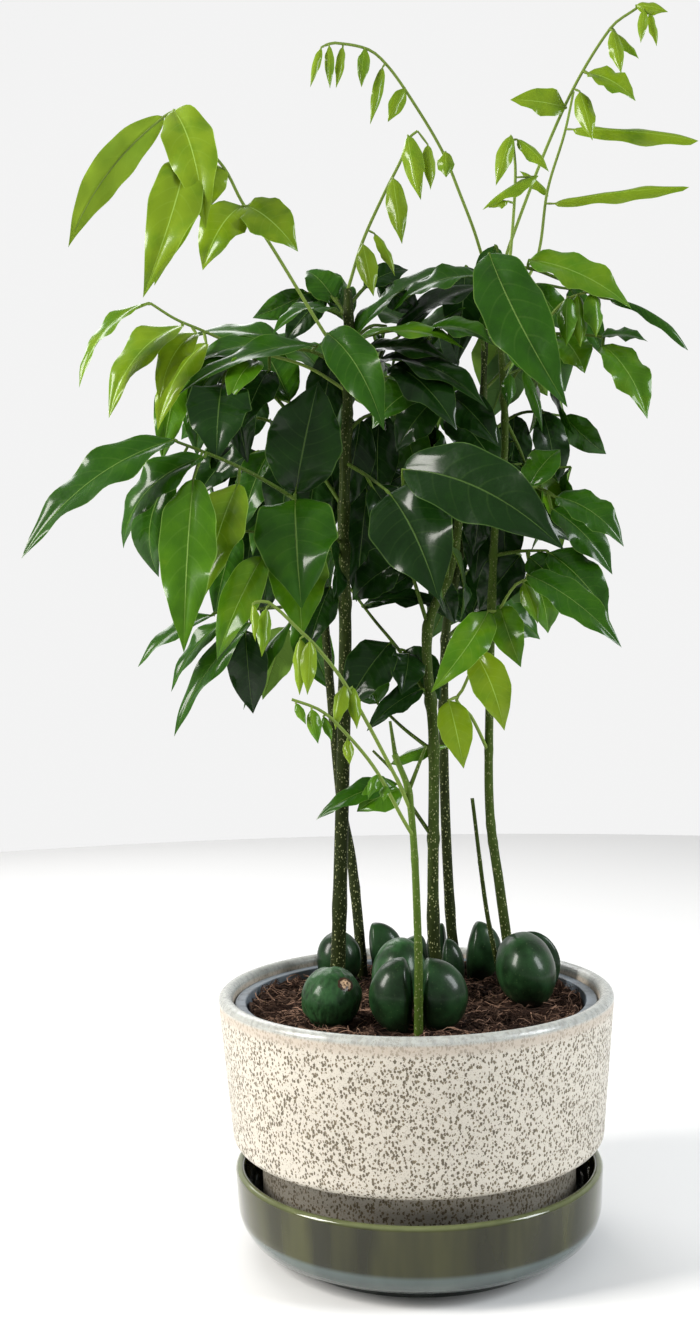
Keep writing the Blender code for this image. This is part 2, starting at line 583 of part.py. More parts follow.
def outline_width(along):
    """Half width of an oval blade with a drawn-out tip, as a part of its greatest."""
    return math.sin(math.pi * along ** 0.8) ** 0.8 * (1 - 0.5 * along ** 4)


class Blade:
    """A leaf's midrib and stalk, with the directions across it that its surface is built on."""

    def __init__(self, leaf, rachis):
        self.leaf = leaf
        young = leaf.width <= YOUNG_WIDTH
        self.stalk = (YOUNG_STALK_RADIUS if young else STALK_RADIUS) * MM
        self.fold = math.radians(YOUNG_FOLD if young else MATURE_FOLD)
        self.rows = WIDE_BLADE_ROWS if leaf.width > WIDE_BLADE else NARROW_BLADE_ROWS
        self.base = spot(*leaf.base)
        self.run = spot(*leaf.tip) - self.base
        length = self.run.length
        axis = self.run.normalized()
        front = (Vector((0, -1, 0)) + axis * axis.y).normalized()
        up = front.cross(axis)
        if up.z + 0.3 * up.x < 0:
            up = -up
        turn = math.radians(leaf.turn)
        self.normal = front * math.cos(turn) + up * math.sin(turn)
        across = self.normal.cross(axis)
        self.rise = self.normal * leaf.bow * length * 4 + across * leaf.bend * length * 4
        self.set_stalk(nearest_on(rachis, self.base)[0])

    def set_stalk(self, joint):
        """Run the stalk from the base back to the joint, and a little past it."""
        forward = (self.run + self.rise).normalized()
        stalk_run = self.base - joint
        if stalk_run.length < 2 * self.stalk:
            stalk_run = forward * 2 * self.stalk
        self.joint = self.base - stalk_run - stalk_run.normalized() * self.stalk / 3
        bend = forward.rotation_difference(stalk_run.normalized())
        side, normal = self.frame(forward)
        halfway = Quaternion().slerp(bend, 0.5)
        self.foot_frame = (halfway @ side, halfway @ normal)
        self.joint_frame = (bend @ side, bend @ normal)

    def frame(self, tangent):
        side = self.normal.cross(tangent).normalized()
        return side, tangent.cross(side)

    def midrib(self, along):
        return self.base + self.run * along + self.rise * along * (1 - along)

    def point(self, across, along, face, spare=0.0):
        """A point of the upper sheet, where face is 1, or of the lower one, where it is -1.

        Along runs from 0 at the blade's foot to 1 at its tip, and is negative where the stalk starts.
        """
        if along < 0.01:
            middle = self.base if along > -0.01 else self.joint
            side, normal = self.foot_frame if along > -0.01 else self.joint_frame
            half = thick = self.stalk + spare * MM
            lift = 0
        else:
            middle = self.midrib(along)
            side, normal = self.frame((self.run + self.rise * (1 - 2 * along)).normalized())
            reach = (self.leaf.width / 2 * outline_width(along) + spare) * MM
            wave = BLADE_WAVE * math.sin(math.tau * BLADE_WAVES * along + across)
            thick = (BLADE_THICKNESS / 2 * min(1, 4 - 4 * along) + spare) * MM
            half = reach * math.cos(self.fold)
            lift = abs(across) * reach * (math.sin(self.fold) + wave)
        return middle + side * across * half + normal * (lift + face * thick * (1 - abs(across)))


def blade_sheets(blade, spare=0.0):
    """Upper and lower sheet of a blade and its stalk, split alike and joined along the edge."""
    bm = bmesh.new()
    bmesh.ops.create_grid(bm, x_segments=2, y_segments=blade.rows + 1, size=1)
    bmesh.ops.triangulate(bm, faces=bm.faces)
    upper = list(bm.verts)
    doubled = bmesh.ops.duplicate(bm, geom=bm.verts[:] + bm.edges[:] + bm.faces[:])["geom"]
    lower = [item for item in doubled if isinstance(item, bmesh.types.BMVert)]
    bmesh.ops.reverse_faces(bm, faces=[item for item in doubled if isinstance(item, bmesh.types.BMFace)])
    for verts, face in ((upper, 1), (lower, -1)):
        for vert in verts:
            along = ((vert.co.y + 1) / 2 * (blade.rows + 1) - 1) / blade.rows
            vert.co = blade.point(vert.co.x, along, face, spare)
    bmesh.ops.remove_doubles(bm, verts=bm.verts, dist=1e-6)
    bmesh.ops.holes_fill(bm, edges=bm.edges)
    return bm


def tube_mesh(points, first, last, roundness):
    """A round rod with closed ends through points, its radius going from first to last."""
    curve = bpy.data.curves.new("rod", "CURVE")
    curve.dimensions = "3D"
    curve.bevel_depth = MM
    curve.bevel_resolution = roundness
    curve.use_fill_caps = True
    spline = curve.splines.new("POLY")
    spline.points.add(len(points) - 1)
    for index, place in enumerate(points):
        spline.points[index].co = (*place, 1)
        spline.points[index].radius = first + (last - first) * index / (len(points) - 1)
    rod = new_object("rod", curve)
    bm = bmesh.new()
    bm.from_mesh(rod.to_mesh())
    bpy.data.objects.remove(rod)
    bmesh.ops.remove_doubles(bm, verts=bm.verts, dist=1e-6)
    return mesh_from(bm, "rod")


def nearest_on(points, place):
    """The nearest point to place on the line through points, and how far along the line it lies."""
    best = None
    for index, (start, end) in enumerate(zip(points, points[1:])):
        run = end - start
        part = max(0, min(1, (place - start).dot(run) / run.length_squared))
        found = start + run * part
        distance = (place - found).length
        if best is None or distance < best[0]:
            best = (distance, found, (index + part) / (len(points) - 1), run.normalized())
    return best[1:]


def stem_line(seedling):
    x, y = seedling.root
    ground = soil_height(math.hypot(x, y))
    foot = Vector((x, y, ground - ROOT_DEPTH)) * MM
    collar = Vector((x, y, ground)) * MM
    return [foot, collar, *(spot(*place) for place in seedling.stem)]


def seated_rachis(shoot, frond):
    """The line of a shoot's rachis, which starts just clear of its carrier's side, or of its top."""
    carrier = SEEDLINGS[shoot.carrier]
    points = [spot(*place) for place in frond.rachis]
    seat, along, direction = nearest_on(stem_line(carrier), points[0])
    radius = carrier.radii[0] + (carrier.radii[1] - carrier.radii[0]) * along
    outward = (points[1] - seat).normalized()
    slant = abs(outward.dot(direction))
    lean = math.sqrt(1 - slant ** 2)
    if along < 1:
        reach = (radius + REST_GAP + YOUNG_RACHIS_RADIUS * slant) / lean
    else:
        reach = REST_GAP + radius * lean
    return [seat + outward * reach * MM, *points[1:]]


def fronds_of(name):
    return (SEEDLINGS.get(name) or SHOOTS[name]).fronds


def rachis_lines(name):
    """The rachis of each frond, starting inside its seedling's stem or just clear of its carrier."""
    if name in SHOOTS:
        return [seated_rachis(SHOOTS[name], frond) for frond in SHOOTS[name].fronds]
    lines = []
    for frond in SEEDLINGS[name].fronds:
        points = [spot(*place) for place in frond.rachis]
        start = nearest_on(stem_line(SEEDLINGS[name]), points[0])[0]
        lines.append([start, *points[1:]])
    return lines


def rods_of(name):
    """Meshes of the stem and of every rachis."""
    rods = []
    thickness = YOUNG_RACHIS_RADIUS
    if name in SEEDLINGS:
        thickness = RACHIS_RADIUS
        rods.append(tube_mesh(stem_line(SEEDLINGS[name]), *SEEDLINGS[name].radii, 2))
    for line in rachis_lines(name):
        rods.append(tube_mesh(line, thickness, RACHIS_TIP_RADIUS, 0))
    return rods


def tree_of(mesh):
    bm = bmesh.new()
    bm.from_mesh(mesh)
    tree = BVHTree.FromBMesh(bm)
    bm.free()
    return tree


def swung(leaf, swing):
    """The leaf with its tip moved along the line of sight, and its base a third as far."""
    base = (*leaf.base[:2], leaf.base[2] + swing / 3)
    tip = (*leaf.tip[:2], leaf.tip[2] + swing)
    return leaf._replace(base=base, tip=tip)


def bent_clear(leaf, rachis, taken):
    """The leaf's blade, swung by the least amount that keeps it and its stalk clear of what is taken."""
    for swing in SWINGS:
        blade = Blade(swung(leaf, swing), rachis)
        wide = blade_sheets(blade, CLEARANCE)
        tree = BVHTree.FromBMesh(wide)
        wide.free()
        if not any(tree.overlap(other) for other in taken):
            return blade, tree
    raise ValueError(f"no room for {leaf}")


def grown_pieces():
    """Every node's rods and blades as meshes, with no blade crossing another node."""
    pieces = {name: rods_of(name) for name in (*SHOOTS, *SEEDLINGS)}
    trees = {name: [tree_of(mesh) for mesh in pieces[name]] for name in pieces}
    for name in pieces:
        for rachis, frond in zip(rachis_lines(name), fronds_of(name)):
            for leaf in frond.leaves:
                taken = [tree for other in trees if other != name for tree in trees[other]]
                blade, tree = bent_clear(leaf, rachis, taken)
                trees[name].append(tree)
                pieces[name].append(mesh_from(blade_sheets(blade), "blade"))
    return pieces


def shells(bm):
    """The separate closed surfaces of a mesh, as lists of faces."""
    found = []
    left = set(bm.faces)
    while left:
        shell = [left.pop()]
        for face in shell:
            for edge in face.edges:
                for near in edge.link_faces:
                    if near in left:
                        left.remove(near)
                        shell.append(near)
        found.append(shell)
    return sorted(found, key=len)


def joined(name, meshes, material):
    """One closed body from meshes that run into each other, without the hollows that joining seals."""
    group = bpy.data.collections.new(name + "_pieces")
    bpy.context.scene.collection.children.link(group)
    for mesh in meshes[1:]:
        group.objects.link(bpy.data.objects.new("piece", mesh))
    body = new_object(name, meshes[0])
    union = body.modifiers.new("join", "BOOLEAN")
    union.operation = "UNION"
    union.operand_type = "COLLECTION"
    union.collection = group
    union.solver = "EXACT"
    evaluated = body.evaluated_get(bpy.context.evaluated_depsgraph_get())
    bm = bmesh.new()
    bm.from_mesh(evaluated.to_mesh())
    body.modifiers.clear()
    for piece in list(group.objects):
        bpy.data.objects.remove(piece)
    bpy.data.collections.remove(group)
    bmesh.ops.dissolve_limit(bm, angle_limit=math.radians(FLAT_ANGLE), verts=bm.verts, edges=bm.edges)
    bmesh.ops.triangulate(bm, faces=bm.faces)
    scraps = [face for shell in shells(bm)[:-1] for face in shell]
    bmesh.ops.delete(bm, geom=scraps, context="FACES")
    body.data = mesh_from(bm, name)
    body.data.materials.append(material)
    return body


def cut(body, cutter_mesh):
    """Cut a mesh out of a body, with the cutter kept as a guide."""
    cutter = new_object(body.name + "_cutter", cutter_mesh)
    cutter.hide_render = True
    cutter.display_type = "WIRE"
    hole = body.modifiers.new("hole", "BOOLEAN")
    hole.operation = "DIFFERENCE"
    hole.object = cutter
    hole.solver = "EXACT"


def build_vessels():
    new_object("saucer", saucer_mesh(), principled("saucer_glaze", (0.115, 0.120, 0.080), 0.12, 0.6))
    new_object("pot", pot_mesh(), principled("pot_stoneware", (0.60, 0.56, 0.47), 0.45))
    new_object("liner", liner_mesh(), principled("liner_plastic", (0.14, 0.17, 0.19), 0.5))


def build_beans():
    for name, bean in BEANS.items():
        skin = principled(name + "_skin", (0.020, 0.070, 0.022), 0.3, 0.2)
        new_object(name, bean_mesh(name, bean), skin)


def build_soil():
    """Soil with a plain hole for each stem and a dimple for each bean."""
    soil = new_object("soil", soil_mesh(), principled("soil_crumb", (0.070, 0.045, 0.032), 0.95))
    for seedling in SEEDLINGS.values():
        foot, collar, above = stem_line(seedling)[:3]
        foot.z -= HOLE_GAP * MM
        radius = seedling.radii[0] + HOLE_GAP
        cut(soil, tube_mesh([foot, collar, above], radius, radius, 2))
    for bean in BEANS.values():
        cut(soil, bean_mesh("dimple", bean, REST_GAP))


def build_plants():
    for name, meshes in grown_pieces().items():
        if name in SHOOTS:
            material = principled(name + "_leaf", YOUNG_LEAF, 0.35, 0.1)
        else:
            material = principled(name + "_leaf", SEEDLING_COLOURS[name], 0.3, 0.2)
        joined(name, meshes, material)


def main():
    clear_scene()
    build_vessels()
    build_beans()
    build_soil()
    build_plants()


main()
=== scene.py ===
"""Looks of the potted bean seedlings: pottery, soil, split beans, stems and leaves.

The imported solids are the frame. Each piece here stands for one of them, at the same place and with
the same form, with the detail that the solid leaves out. Lengths are millimetres where MM follows.

A place on the plant is a spot: x and z are where the line of sight from EYE to it crosses the pot's
middle plane, and the third number is its depth behind that plane.
"""

import math
import random
from collections import namedtuple

import bmesh
import bpy
from mathutils import Matrix, Vector, noise
from mathutils.geometry import interpolate_bezier


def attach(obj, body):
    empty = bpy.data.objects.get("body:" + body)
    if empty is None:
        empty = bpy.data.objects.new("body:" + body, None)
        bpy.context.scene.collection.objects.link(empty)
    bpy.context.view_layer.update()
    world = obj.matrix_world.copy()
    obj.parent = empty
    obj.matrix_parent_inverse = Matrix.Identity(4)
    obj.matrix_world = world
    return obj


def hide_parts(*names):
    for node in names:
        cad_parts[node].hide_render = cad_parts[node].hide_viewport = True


bl_info = {
    "name": "Potted Bean Seedlings",
    "version": (1, 0, 0),
    "blender": (4, 5, 0),
    "location": "3D View > Sidebar > Bean Plant",
    "description": "Dresses the packed solids of bean seedlings in a pot on a saucer",
    "category": "Object",
}

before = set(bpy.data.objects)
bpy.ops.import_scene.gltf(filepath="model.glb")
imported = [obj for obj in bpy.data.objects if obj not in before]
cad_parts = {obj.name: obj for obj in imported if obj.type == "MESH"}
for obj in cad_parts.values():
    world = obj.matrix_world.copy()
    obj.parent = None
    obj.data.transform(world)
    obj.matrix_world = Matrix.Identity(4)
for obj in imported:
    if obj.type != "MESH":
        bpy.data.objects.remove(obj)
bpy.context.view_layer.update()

MM = 0.001
EYE = Vector((0, -720, 297))

# Pottery, liner and soil, as the solids have them
TURN_STEPS = 144
REST_GAP = 0.3
SAUCER_RADIUS = 93
SAUCER_TOP = 41
SAUCER_WALL = 4.6
SAUCER_FLOOR = 6
SAUCER_FOOT_RADIUS = 72
SAUCER_BEVEL_TOP = 20
SAUCER_BEVEL_FOOT = 9
POT_RADIUS = 100
POT_TOP = 127.6
POT_WALL = 7
POT_FLOOR = 8
POT_SKIRT_RADIUS = 94
POT_SKIRT_FOOT = 52
POT_FOOT_RADIUS = 79.5
LINER_TOP = 122.5
LINER_RADIUS = 91.8
LINER_LIP = 5.6
LINER_WALL = 1.6
LINER_BASE_RADIUS = 67
SOIL_EDGE = 114.5
SOIL_CROWN = 4
SOIL_REACH = LINER_RADIUS - LINER_LIP - 1.4

# Loose soil: the size of its lumps, and its bank at the edge with the size of its uneven patches
SOIL_RINGS = 70
LUMP_SIZE = 9
PATCH_SIZE = 25
BANK_WIDTH = 16
# The least, the greatest and the likeliest size of crumbs and fibres
CRUMB_SIZES = (0.35, 2.6, 0.6)
FIBRE_LENGTHS = (4, 24, 8)
FIBRE_RADII = (0.1, 0.42, 0.16)
FIBRE_ARCHES = (0.2, 4.5, 0.5)
# A crumb's length, height and unevenness by its size, and how far a fibre turns along its length
CRUMB_STRETCH = (0.8, 1.9)
CRUMB_HEIGHTS = (0.4, 0.9)
CRUMB_ROUGHNESS = 0.25
FIBRE_CURL = 2.4
FIBRE_STEPS = 5

# Beans: how flat the split side is, and how deep dents and wrinkles are by the bean's size
BEAN_SEGMENTS = (56, 40)
BEAN_FLATNESS = 0.3
BEAN_DENTS = 0.022
BEAN_WRINKLES = 0.10

# Stems, stalks and blades
ROOT_DEPTH = 26
RACHIS_RADIUS = 1.15
RACHIS_TIP_RADIUS = 0.7
YOUNG_RACHIS_RADIUS = 0.95
STALK_RADIUS = 0.75
YOUNG_STALK_RADIUS = 0.5
STEM_SIDES = 16
RACHIS_SIDES = 10
STALK_SIDES = 8
FIBRE_SIDES = 4
# How much wider a stem is at a node and at a knot. A node's reach is in millimetres, and a knot's is
# a part of the stem's length.
NODE_SWELLING, NODE_REACH = 0.22, 3
KNOT_SWELLING, KNOT_REACH = 0.10, 0.008
KNOTS = 7
# Radii by the stalk's own: at its joint, half way, and those of the midrib that it runs on as
STALK_FOOT, STALK_SWELLING = 0.9, 1.25
MIDRIB_SHARE, MIDRIB_TAPER = 0.75, 0.6
MIDRIB_STEPS = 9
MIDRIB_DEPTH = 0.25
# Long waves of a blade and finer ones at its edge, their number along it, and its uneven width
BLADE_WAVE, BLADE_WAVES = 0.14, 1.6
EDGE_WAVES, EDGE_FALL = (2.0, 3.6), 2.5
WIDTH_UNEVENNESS, WIDTH_WAVES = 0.025, 8
SIDE_SHIFT = 1.3
BELLY = 0.07
# The fold along the midrib in degrees, and the greatest width of a young blade
MATURE_FOLD = 9
YOUNG_FOLD = -30
FOLD_CURVE = 1.2
YOUNG_WIDTH = 13
# Where an oval blade and a narrow strap are widest and how full their outline is. A blade is a strap
# if its width is less than STRAP_RATIO of its length.
OVAL_SHAPE = (0.78, 0.78)
STRAP_SHAPE = (0.95, 0.4)
STRAP_RATIO = 0.18
TIP_TAPER, TIP_SHARPNESS = 0.6, 5
# Columns and rows of faces on a blade, which lie closer at its edges and its base
COLUMNS, YOUNG_COLUMNS = 12, 8
LEAST_ROWS, MOST_ROWS = 12, 44
ROW_LENGTH = 3
COLUMN_SPREAD, ROW_SPREAD = 0.85, 1.1

# How light a leaf is, from the oldest to the youngest, with painted light and shade mixed in: leaves in shade
# inside the crown take the dark tones and leaves in light the lighter ones
DARK, MID, LIT, BRIGHT_LIT, LIME = 0.0, 0.33, 0.67, 0.84, 1.0

Leaf = namedtuple("Leaf", "base tip width turn tone bow bend", defaults=(0.12, 0))
Frond = namedtuple("Frond", "rachis leaves")
Seedling = namedtuple("Seedling", "root radii stem fronds")
Shoot = namedtuple("Shoot", "carrier fronds")
Bean = namedtuple("Bean", "centre half_size flat_side lean")

# A seedling's root is its x and y in the soil, and its radii are those at the foot and at the top.
# A leaf runs from base to tip, with its greatest width. Its turn is how far the upper side is turned
# from facing the front, its bow how far the midrib rises on that side, and its bend how far it
# bends sideways, both as parts of its length.
SEEDLINGS = {
    "seedling_left": Seedling((-41.5, 30), (4.6, 2.2), [
        (-38, 162, 31), (-32, 305, 34), (-32, 356, 35), (-27, 452, 36), (-27, 483, 38)
    ], [
        Frond([(-32, 353, 34), (-54, 375, 8), (-73, 388, -14), (-90, 397, -26), (-106, 404, -30),
               (-116, 408, -34)], [
            Leaf((-117, 409, -36), (-198, 350, -58), 28, 38, MID, bow=0.12),
            Leaf((-102, 400, -32), (-145, 354, -22), 25, 40, MID, bow=0.2),
            Leaf((-118, 392, -22), (-127, 339, -8), 25, -20, MID, bend=-0.1),
            Leaf((-108, 389, -40), (-115, 300, -64), 28, 0, LIT, bow=0.06),
            Leaf((-85, 386, -28), (-104, 328, -40), 25, -12, BRIGHT_LIT, bow=0.1),
            Leaf((-56, 377, -4), (-54, 321, -36), 42, 0, MID),
            Leaf((-56, 380, 6), (-43, 437, 10), 40, 0, DARK, bow=0.1),
        ]),
        Frond([(-32, 350, 34), (-45, 353, 18), (-59, 353, 0), (-70, 353, -16)], [
            Leaf((-73, 349, -26), (-98, 296, -34), 20, 10, LIT, bow=0.1),
            Leaf((-55, 357, 6), (-54, 307, -14), 31, 0, LIT, bow=0.1),
        ]),
        Frond([(-27, 452, 36), (-33, 459, 20)], [
            Leaf((-38, 461, 10), (-10, 411, -12), 25, 0, MID, bow=0.14, bend=0.06),
        ]),
        Frond([(-27, 438, 36), (-43, 451, 20), (-59, 454, 16), (-78, 454, 10), (-91, 442, 2)], [
            Leaf((-43, 455, 10), (-115, 432, -6), 22, 52, MID, bow=0.1),
            Leaf((-59, 457, 31), (-118, 457, 61), 20, 58, MID, bow=0.1),
            Leaf((-60, 457, 30), (-126, 436, 22), 22, 52, MID, bow=0.1),
            Leaf((-83, 454, 20), (-111, 417, 4), 20, 35, MID),
            Leaf((-92, 437, -2), (-96, 397, -26), 33, 0, DARK),
            Leaf((-74, 448, 4), (-89, 427, -14), 18, 20, LIT, bow=0.15),
            Leaf((-68, 443, 16), (-82, 414, 0), 22, 10, DARK),
        ]),
        Frond([(-27, 462, 37), (-30, 472, 42), (-33, 479, 48)], [
            Leaf((-33, 476, 50), (-48, 493, 60), 20, 20, MID, bow=0.15),
            Leaf((-32, 470, 44), (-66, 461, 22), 20, 55, MID, bow=0.2),
            Leaf((-29, 467, 52), (-42, 494, 84), 22, 30, MID, bow=0.1),
        ]),
        Frond([(-27, 446, 36), (-14, 454, 30), (0, 455, 24), (15, 457, 22)], [
            Leaf((-24, 459, 34), (36, 492, 48), 26, 60, MID),
            Leaf((-2, 458, 40), (46, 482, 60), 24, 50, DARK),
            Leaf((13, 461, 14), (47, 452, 6), 22, 50, MID, bow=0.15),
            Leaf((-23, 457, 22), (32, 451, 0), 20, 58, LIT),
            Leaf((-19, 451, 22), (25, 444, 12), 24, 52, DARK),
            Leaf((-12, 447, 22), (43, 420, -4), 26, 50, DARK),
            Leaf((-5, 444, 16), (27, 410, -10), 28, 28, DARK),
        ]),
        Frond([(-28, 395, 36), (-19, 388, 18), (-10, 381, -2)], [
            Leaf((-8, 379, -8), (16, 324, -34), 42, 0, DARK, bow=0.1, bend=0.04),
            Leaf((-17, 383, 24), (3, 345, 30), 26, 20, DARK, bow=0.1),
        ]),
        Frond([(-32, 325, 34), (-50, 323, 24), (-70, 322, 10), (-88, 321, 0), (-99, 320, -4)], [
            Leaf((-100, 319, -6), (-139, 293, -14), 17, 55, MID, bow=0.1),
            Leaf((-92, 317, 6), (-122, 280, 6), 15, 50, MID, bow=0.1),
            Leaf((-80, 315, -2), (-121, 257, -8), 18, 45, MID, bow=0.08),
            Leaf((-83, 311, 9), (-80, 268, 14), 22, 0, DARK, bow=0.1),
            Leaf((-59, 315, 14), (-85, 270, 14), 13, 55, MID, bow=0.1),
            Leaf((-39, 332, 18), (-51, 300, 8), 18, 10, DARK, bow=0.1),
        ]),
    ]),
    "seedling_back_left": Seedling((-29, 67), (3.2, 1.8), [
        (-31, 191, 76), (-36, 223, 83), (-43, 325, 92), (-45, 356, 92), (-45, 392, 90), (-43, 427, 88)
    ], [
        Frond([(-45, 366, 92), (-59, 377, 92), (-73, 393, 88), (-84, 403, 82)], [
            Leaf((-84, 403, 80), (-107, 378, 64), 24, 20, DARK),
            Leaf((-75, 395, 84), (-86, 357, 72), 28, 10, DARK),
            Leaf((-63, 381, 90), (-74, 336, 84), 28, 0, MID, bow=0.1),
            Leaf((-56, 374, 94), (-39, 330, 96), 28, 0, MID, bow=0.1),
        ]),
        Frond([(-44, 412, 89), (-57, 426, 98), (-72, 430, 108), (-87, 428, 118)], [
            Leaf((-87, 428, 118), (-114, 409, 126), 26, 30, MID),
            Leaf((-72, 430, 108), (-92, 402, 104), 28, 10, DARK),
            Leaf((-58, 427, 98), (-75, 459, 112), 26, 20, MID),
            Leaf((-53, 422, 94), (-53, 387, 78), 28, 0, DARK),
        ]),
        Frond([(-43, 426, 88), (-39, 439, 104), (-34, 449, 122), (-32, 454, 140)], [
            Leaf((-32, 454, 140), (-43, 431, 168), 28, 150, DARK, bow=0.15),
            Leaf((-37, 444, 114), (-5, 441, 130), 26, 40, DARK),
            Leaf((-39, 437, 100), (-71, 461, 128), 26, 50, MID),
            Leaf((-33, 452, 132), (-14, 421, 150), 28, 170, MID),
        ]),
        Frond([(-43, 325, 92), (-55, 320, 108), (-62, 312, 124)], [
            Leaf((-62, 312, 124), (-75, 275, 140), 24, 170, MID),
            Leaf((-55, 320, 108), (-40, 279, 116), 24, 0, MID),
        ]),
    ]),
    "seedling_front": Seedling((1.2, -57), (2.5, 1.3), [
        (2, 151, -58), (-1, 225, -55), (-8, 246, -53)
    ], [
        Frond([(-1, 227, -55), (8, 250, -50)], []),
        Frond([(-8, 245, -53), (-10, 263, -51)], []),
    ]),
    "seedling_centre": Seedling((13, 12), (3.4, 1.8), [
        (10, 156, 13), (12, 253, 20), (10, 309, 24), (22, 339, 28), (27, 366, 30), (27, 400, 32),
        (24, 431, 34)
    ], [
        Frond([(10, 311, 24), (6, 326, 22), (1, 345, 16), (-2, 365, 4), (-1, 384, -10)], [
            Leaf((-1, 391, -16), (80, 348, -44), 38, 8, DARK, bend=0.06),
            Leaf((-1, 345, 14), (-28, 325, 30), 26, 30, DARK),
            Leaf((-2, 355, 10), (22, 390, 22), 28, 30, DARK),
        ]),
        Frond([(11, 272, 22), (-4, 298, 34), (-18, 316, 44), (-34, 338, 54)], [
            Leaf((-9, 303, 24), (-33, 268, 16), 27, 20, DARK),
            Leaf((0, 297, 26), (-4, 276, 10), 20, 10, DARK),
            Leaf((7, 279, 18), (-22, 258, 4), 16, 40, DARK, bow=0.1),
            Leaf((-2, 299, 40), (16, 273, 34), 22, 10, DARK),
            Leaf((-23, 322, 44), (22, 318, 30), 20, 62, DARK),
        ]),
        Frond([(10, 247, 20), (-3, 259, 26), (-16, 272, 34)], [
            Leaf((-16, 272, 34), (-29, 295, 40), 22, 20, MID),
        ]),
        Frond([(7, 203, 17), (-2, 223, 18), (-9, 237, 20), (-19, 248, 24)], [
            Leaf((-7, 231, 18), (-49, 213, 10), 15, 45, MID),
            Leaf((-6, 228, 16), (-28, 217, 8), 20, 25, LIT, bow=0.15),
            Leaf((-10, 241, 20), (21, 250, 30), 10, 40, LIT),
        ]),
        Frond([(26, 410, 32), (19, 424, 24), (9, 432, 14)], [
            Leaf((9, 432, 14), (-16, 412, 4), 26, 40, MID),
            Leaf((17, 427, 22), (-4, 400, 26), 24, 20, DARK),
            Leaf((24, 428, 28), (48, 401, 10), 22, 10, DARK),
            Leaf((24, 418, 30), (48, 387, 16), 28, 20, DARK),
        ]),
        Frond([(25, 425, 34), (14, 446, 50), (6, 461, 66)], [
            Leaf((6, 461, 66), (-18, 472, 76), 24, 50, MID),
            Leaf((11, 452, 56), (34, 473, 66), 26, 50, MID),
            Leaf((17, 440, 46), (-5, 457, 56), 24, 50, DARK),
        ]),
    ]),
    "seedling_back": Seedling((24, 60), (3.2, 1.6), [
        (19, 158, 61), (17, 240, 66), (19, 304, 68), (24, 333, 70), (32, 366, 72), (39, 405, 76),
        (41, 435, 80), (42, 460, 86)
    ], [
        Frond([(19, 304, 68), (29, 313, 76), (40, 319, 86)], [
            Leaf((40, 319, 86), (67, 303, 96), 26, 40, MID),
            Leaf((29, 312, 76), (6, 324, 92), 28, 60, DARK),
            Leaf((32, 315, 80), (47, 344, 90), 28, 20, DARK, bow=0.1),
        ]),
        Frond([(28, 350, 71), (15, 360, 84), (2, 365, 98)], [
            Leaf((2, 365, 98), (-23, 345, 110), 28, 30, DARK),
            Leaf((12, 361, 88), (-5, 330, 96), 28, 10, MID),
            Leaf((17, 359, 84), (23, 324, 80), 26, 0, DARK),
        ]),
        Frond([(35, 385, 74), (48, 393, 88), (63, 398, 100)], [
            Leaf((63, 398, 100), (78, 380, 108), 24, 30, MID),
            Leaf((48, 393, 88), (68, 353, 96), 30, 10, DARK),
            Leaf((50, 394, 90), (60, 364, 104), 26, 20, DARK),
        ]),
        Frond([(40, 425, 79), (24, 436, 96), (9, 440, 116), (-3, 440, 134)], [
            Leaf((-3, 440, 134), (-29, 427, 150), 26, 150, DARK),
            Leaf((8, 439, 118), (-2, 406, 128), 28, 170, DARK),
            Leaf((19, 437, 102), (14, 466, 120), 26, 40, DARK),
            Leaf((24, 434, 96), (33, 400, 104), 28, 0, MID),
        ]),
        Frond([(41, 453, 84), (50, 460, 104), (56, 462, 124)], [
            Leaf((56, 462, 124), (80, 444, 140), 26, 150, DARK),
            Leaf((50, 459, 106), (68, 475, 112), 24, 50, DARK),
            Leaf((52, 459, 112), (40, 429, 130), 28, 170, MID),
        ]),
        Frond([(24, 333, 70), (32, 339, 92), (36, 344, 116)], [
            Leaf((36, 344, 116), (57, 313, 136), 28, 160, DARK),
            Leaf((32, 339, 96), (11, 304, 112), 28, 170, DARK),
        ]),
    ]),
    "bare_stub": Seedling((46, 36), (1.6, 1.0), [
        (37, 167, 38), (31, 223, 43)
    ], [
    ]),
    "seedling_right": Seedling((51.5, 20), (3.0, 1.5), [
        (44, 178, 24), (40, 212, 28), (40, 250, 30), (45, 358, 33), (51, 401, 35), (50, 460, 37),
        (51, 485, 38)
    ], [
        Frond([(50, 466, 37), (48, 480, 22), (46, 495, 4)], [
            Leaf((45, 499, -6), (83, 420, -34), 33, 0, MID, bow=0.1, bend=-0.04),
            Leaf((39, 488, 14), (-5, 471, 26), 24, 55, MID),
        ]),
        Frond([(51, 480, 38), (60, 491, 28), (80, 485, 27), (100, 475, 22)], [
            Leaf((65, 495, 16), (116, 469, 4), 25, 30, LIT, bow=0.1),
            Leaf((105, 474, 18), (144, 447, 10), 8, 35, MID, bow=0.14),
        ]),
        Frond([(51, 453, 36), (70, 457, 34), (87, 457, 30), (102, 455, 24)], [
            Leaf((101, 451, 20), (123, 413, 6), 24, 25, LIT),
            Leaf((100, 455, 26), (124, 452, 22), 16, 55, MID, bow=0.1),
            Leaf((80, 456, 32), (92, 437, 26), 22, 20, LIT),
            Leaf((68, 456, 40), (82, 428, 48), 24, 10, MID),
        ]),
        Frond([(51, 425, 35), (58, 439, 30), (64, 443, 24)], [
            Leaf((54, 438, 20), (53, 421, 14), 9, 0, MID, bow=0.1),
            Leaf((61, 440, 20), (70, 408, 16), 8, 20, MID, bow=0.1),
        ]),
        Frond([(49, 384, 34), (61, 382, 26), (72, 378, 20)], [
            Leaf((76, 375, 16), (110, 349, 6), 23, 32, MID, bow=0.16),
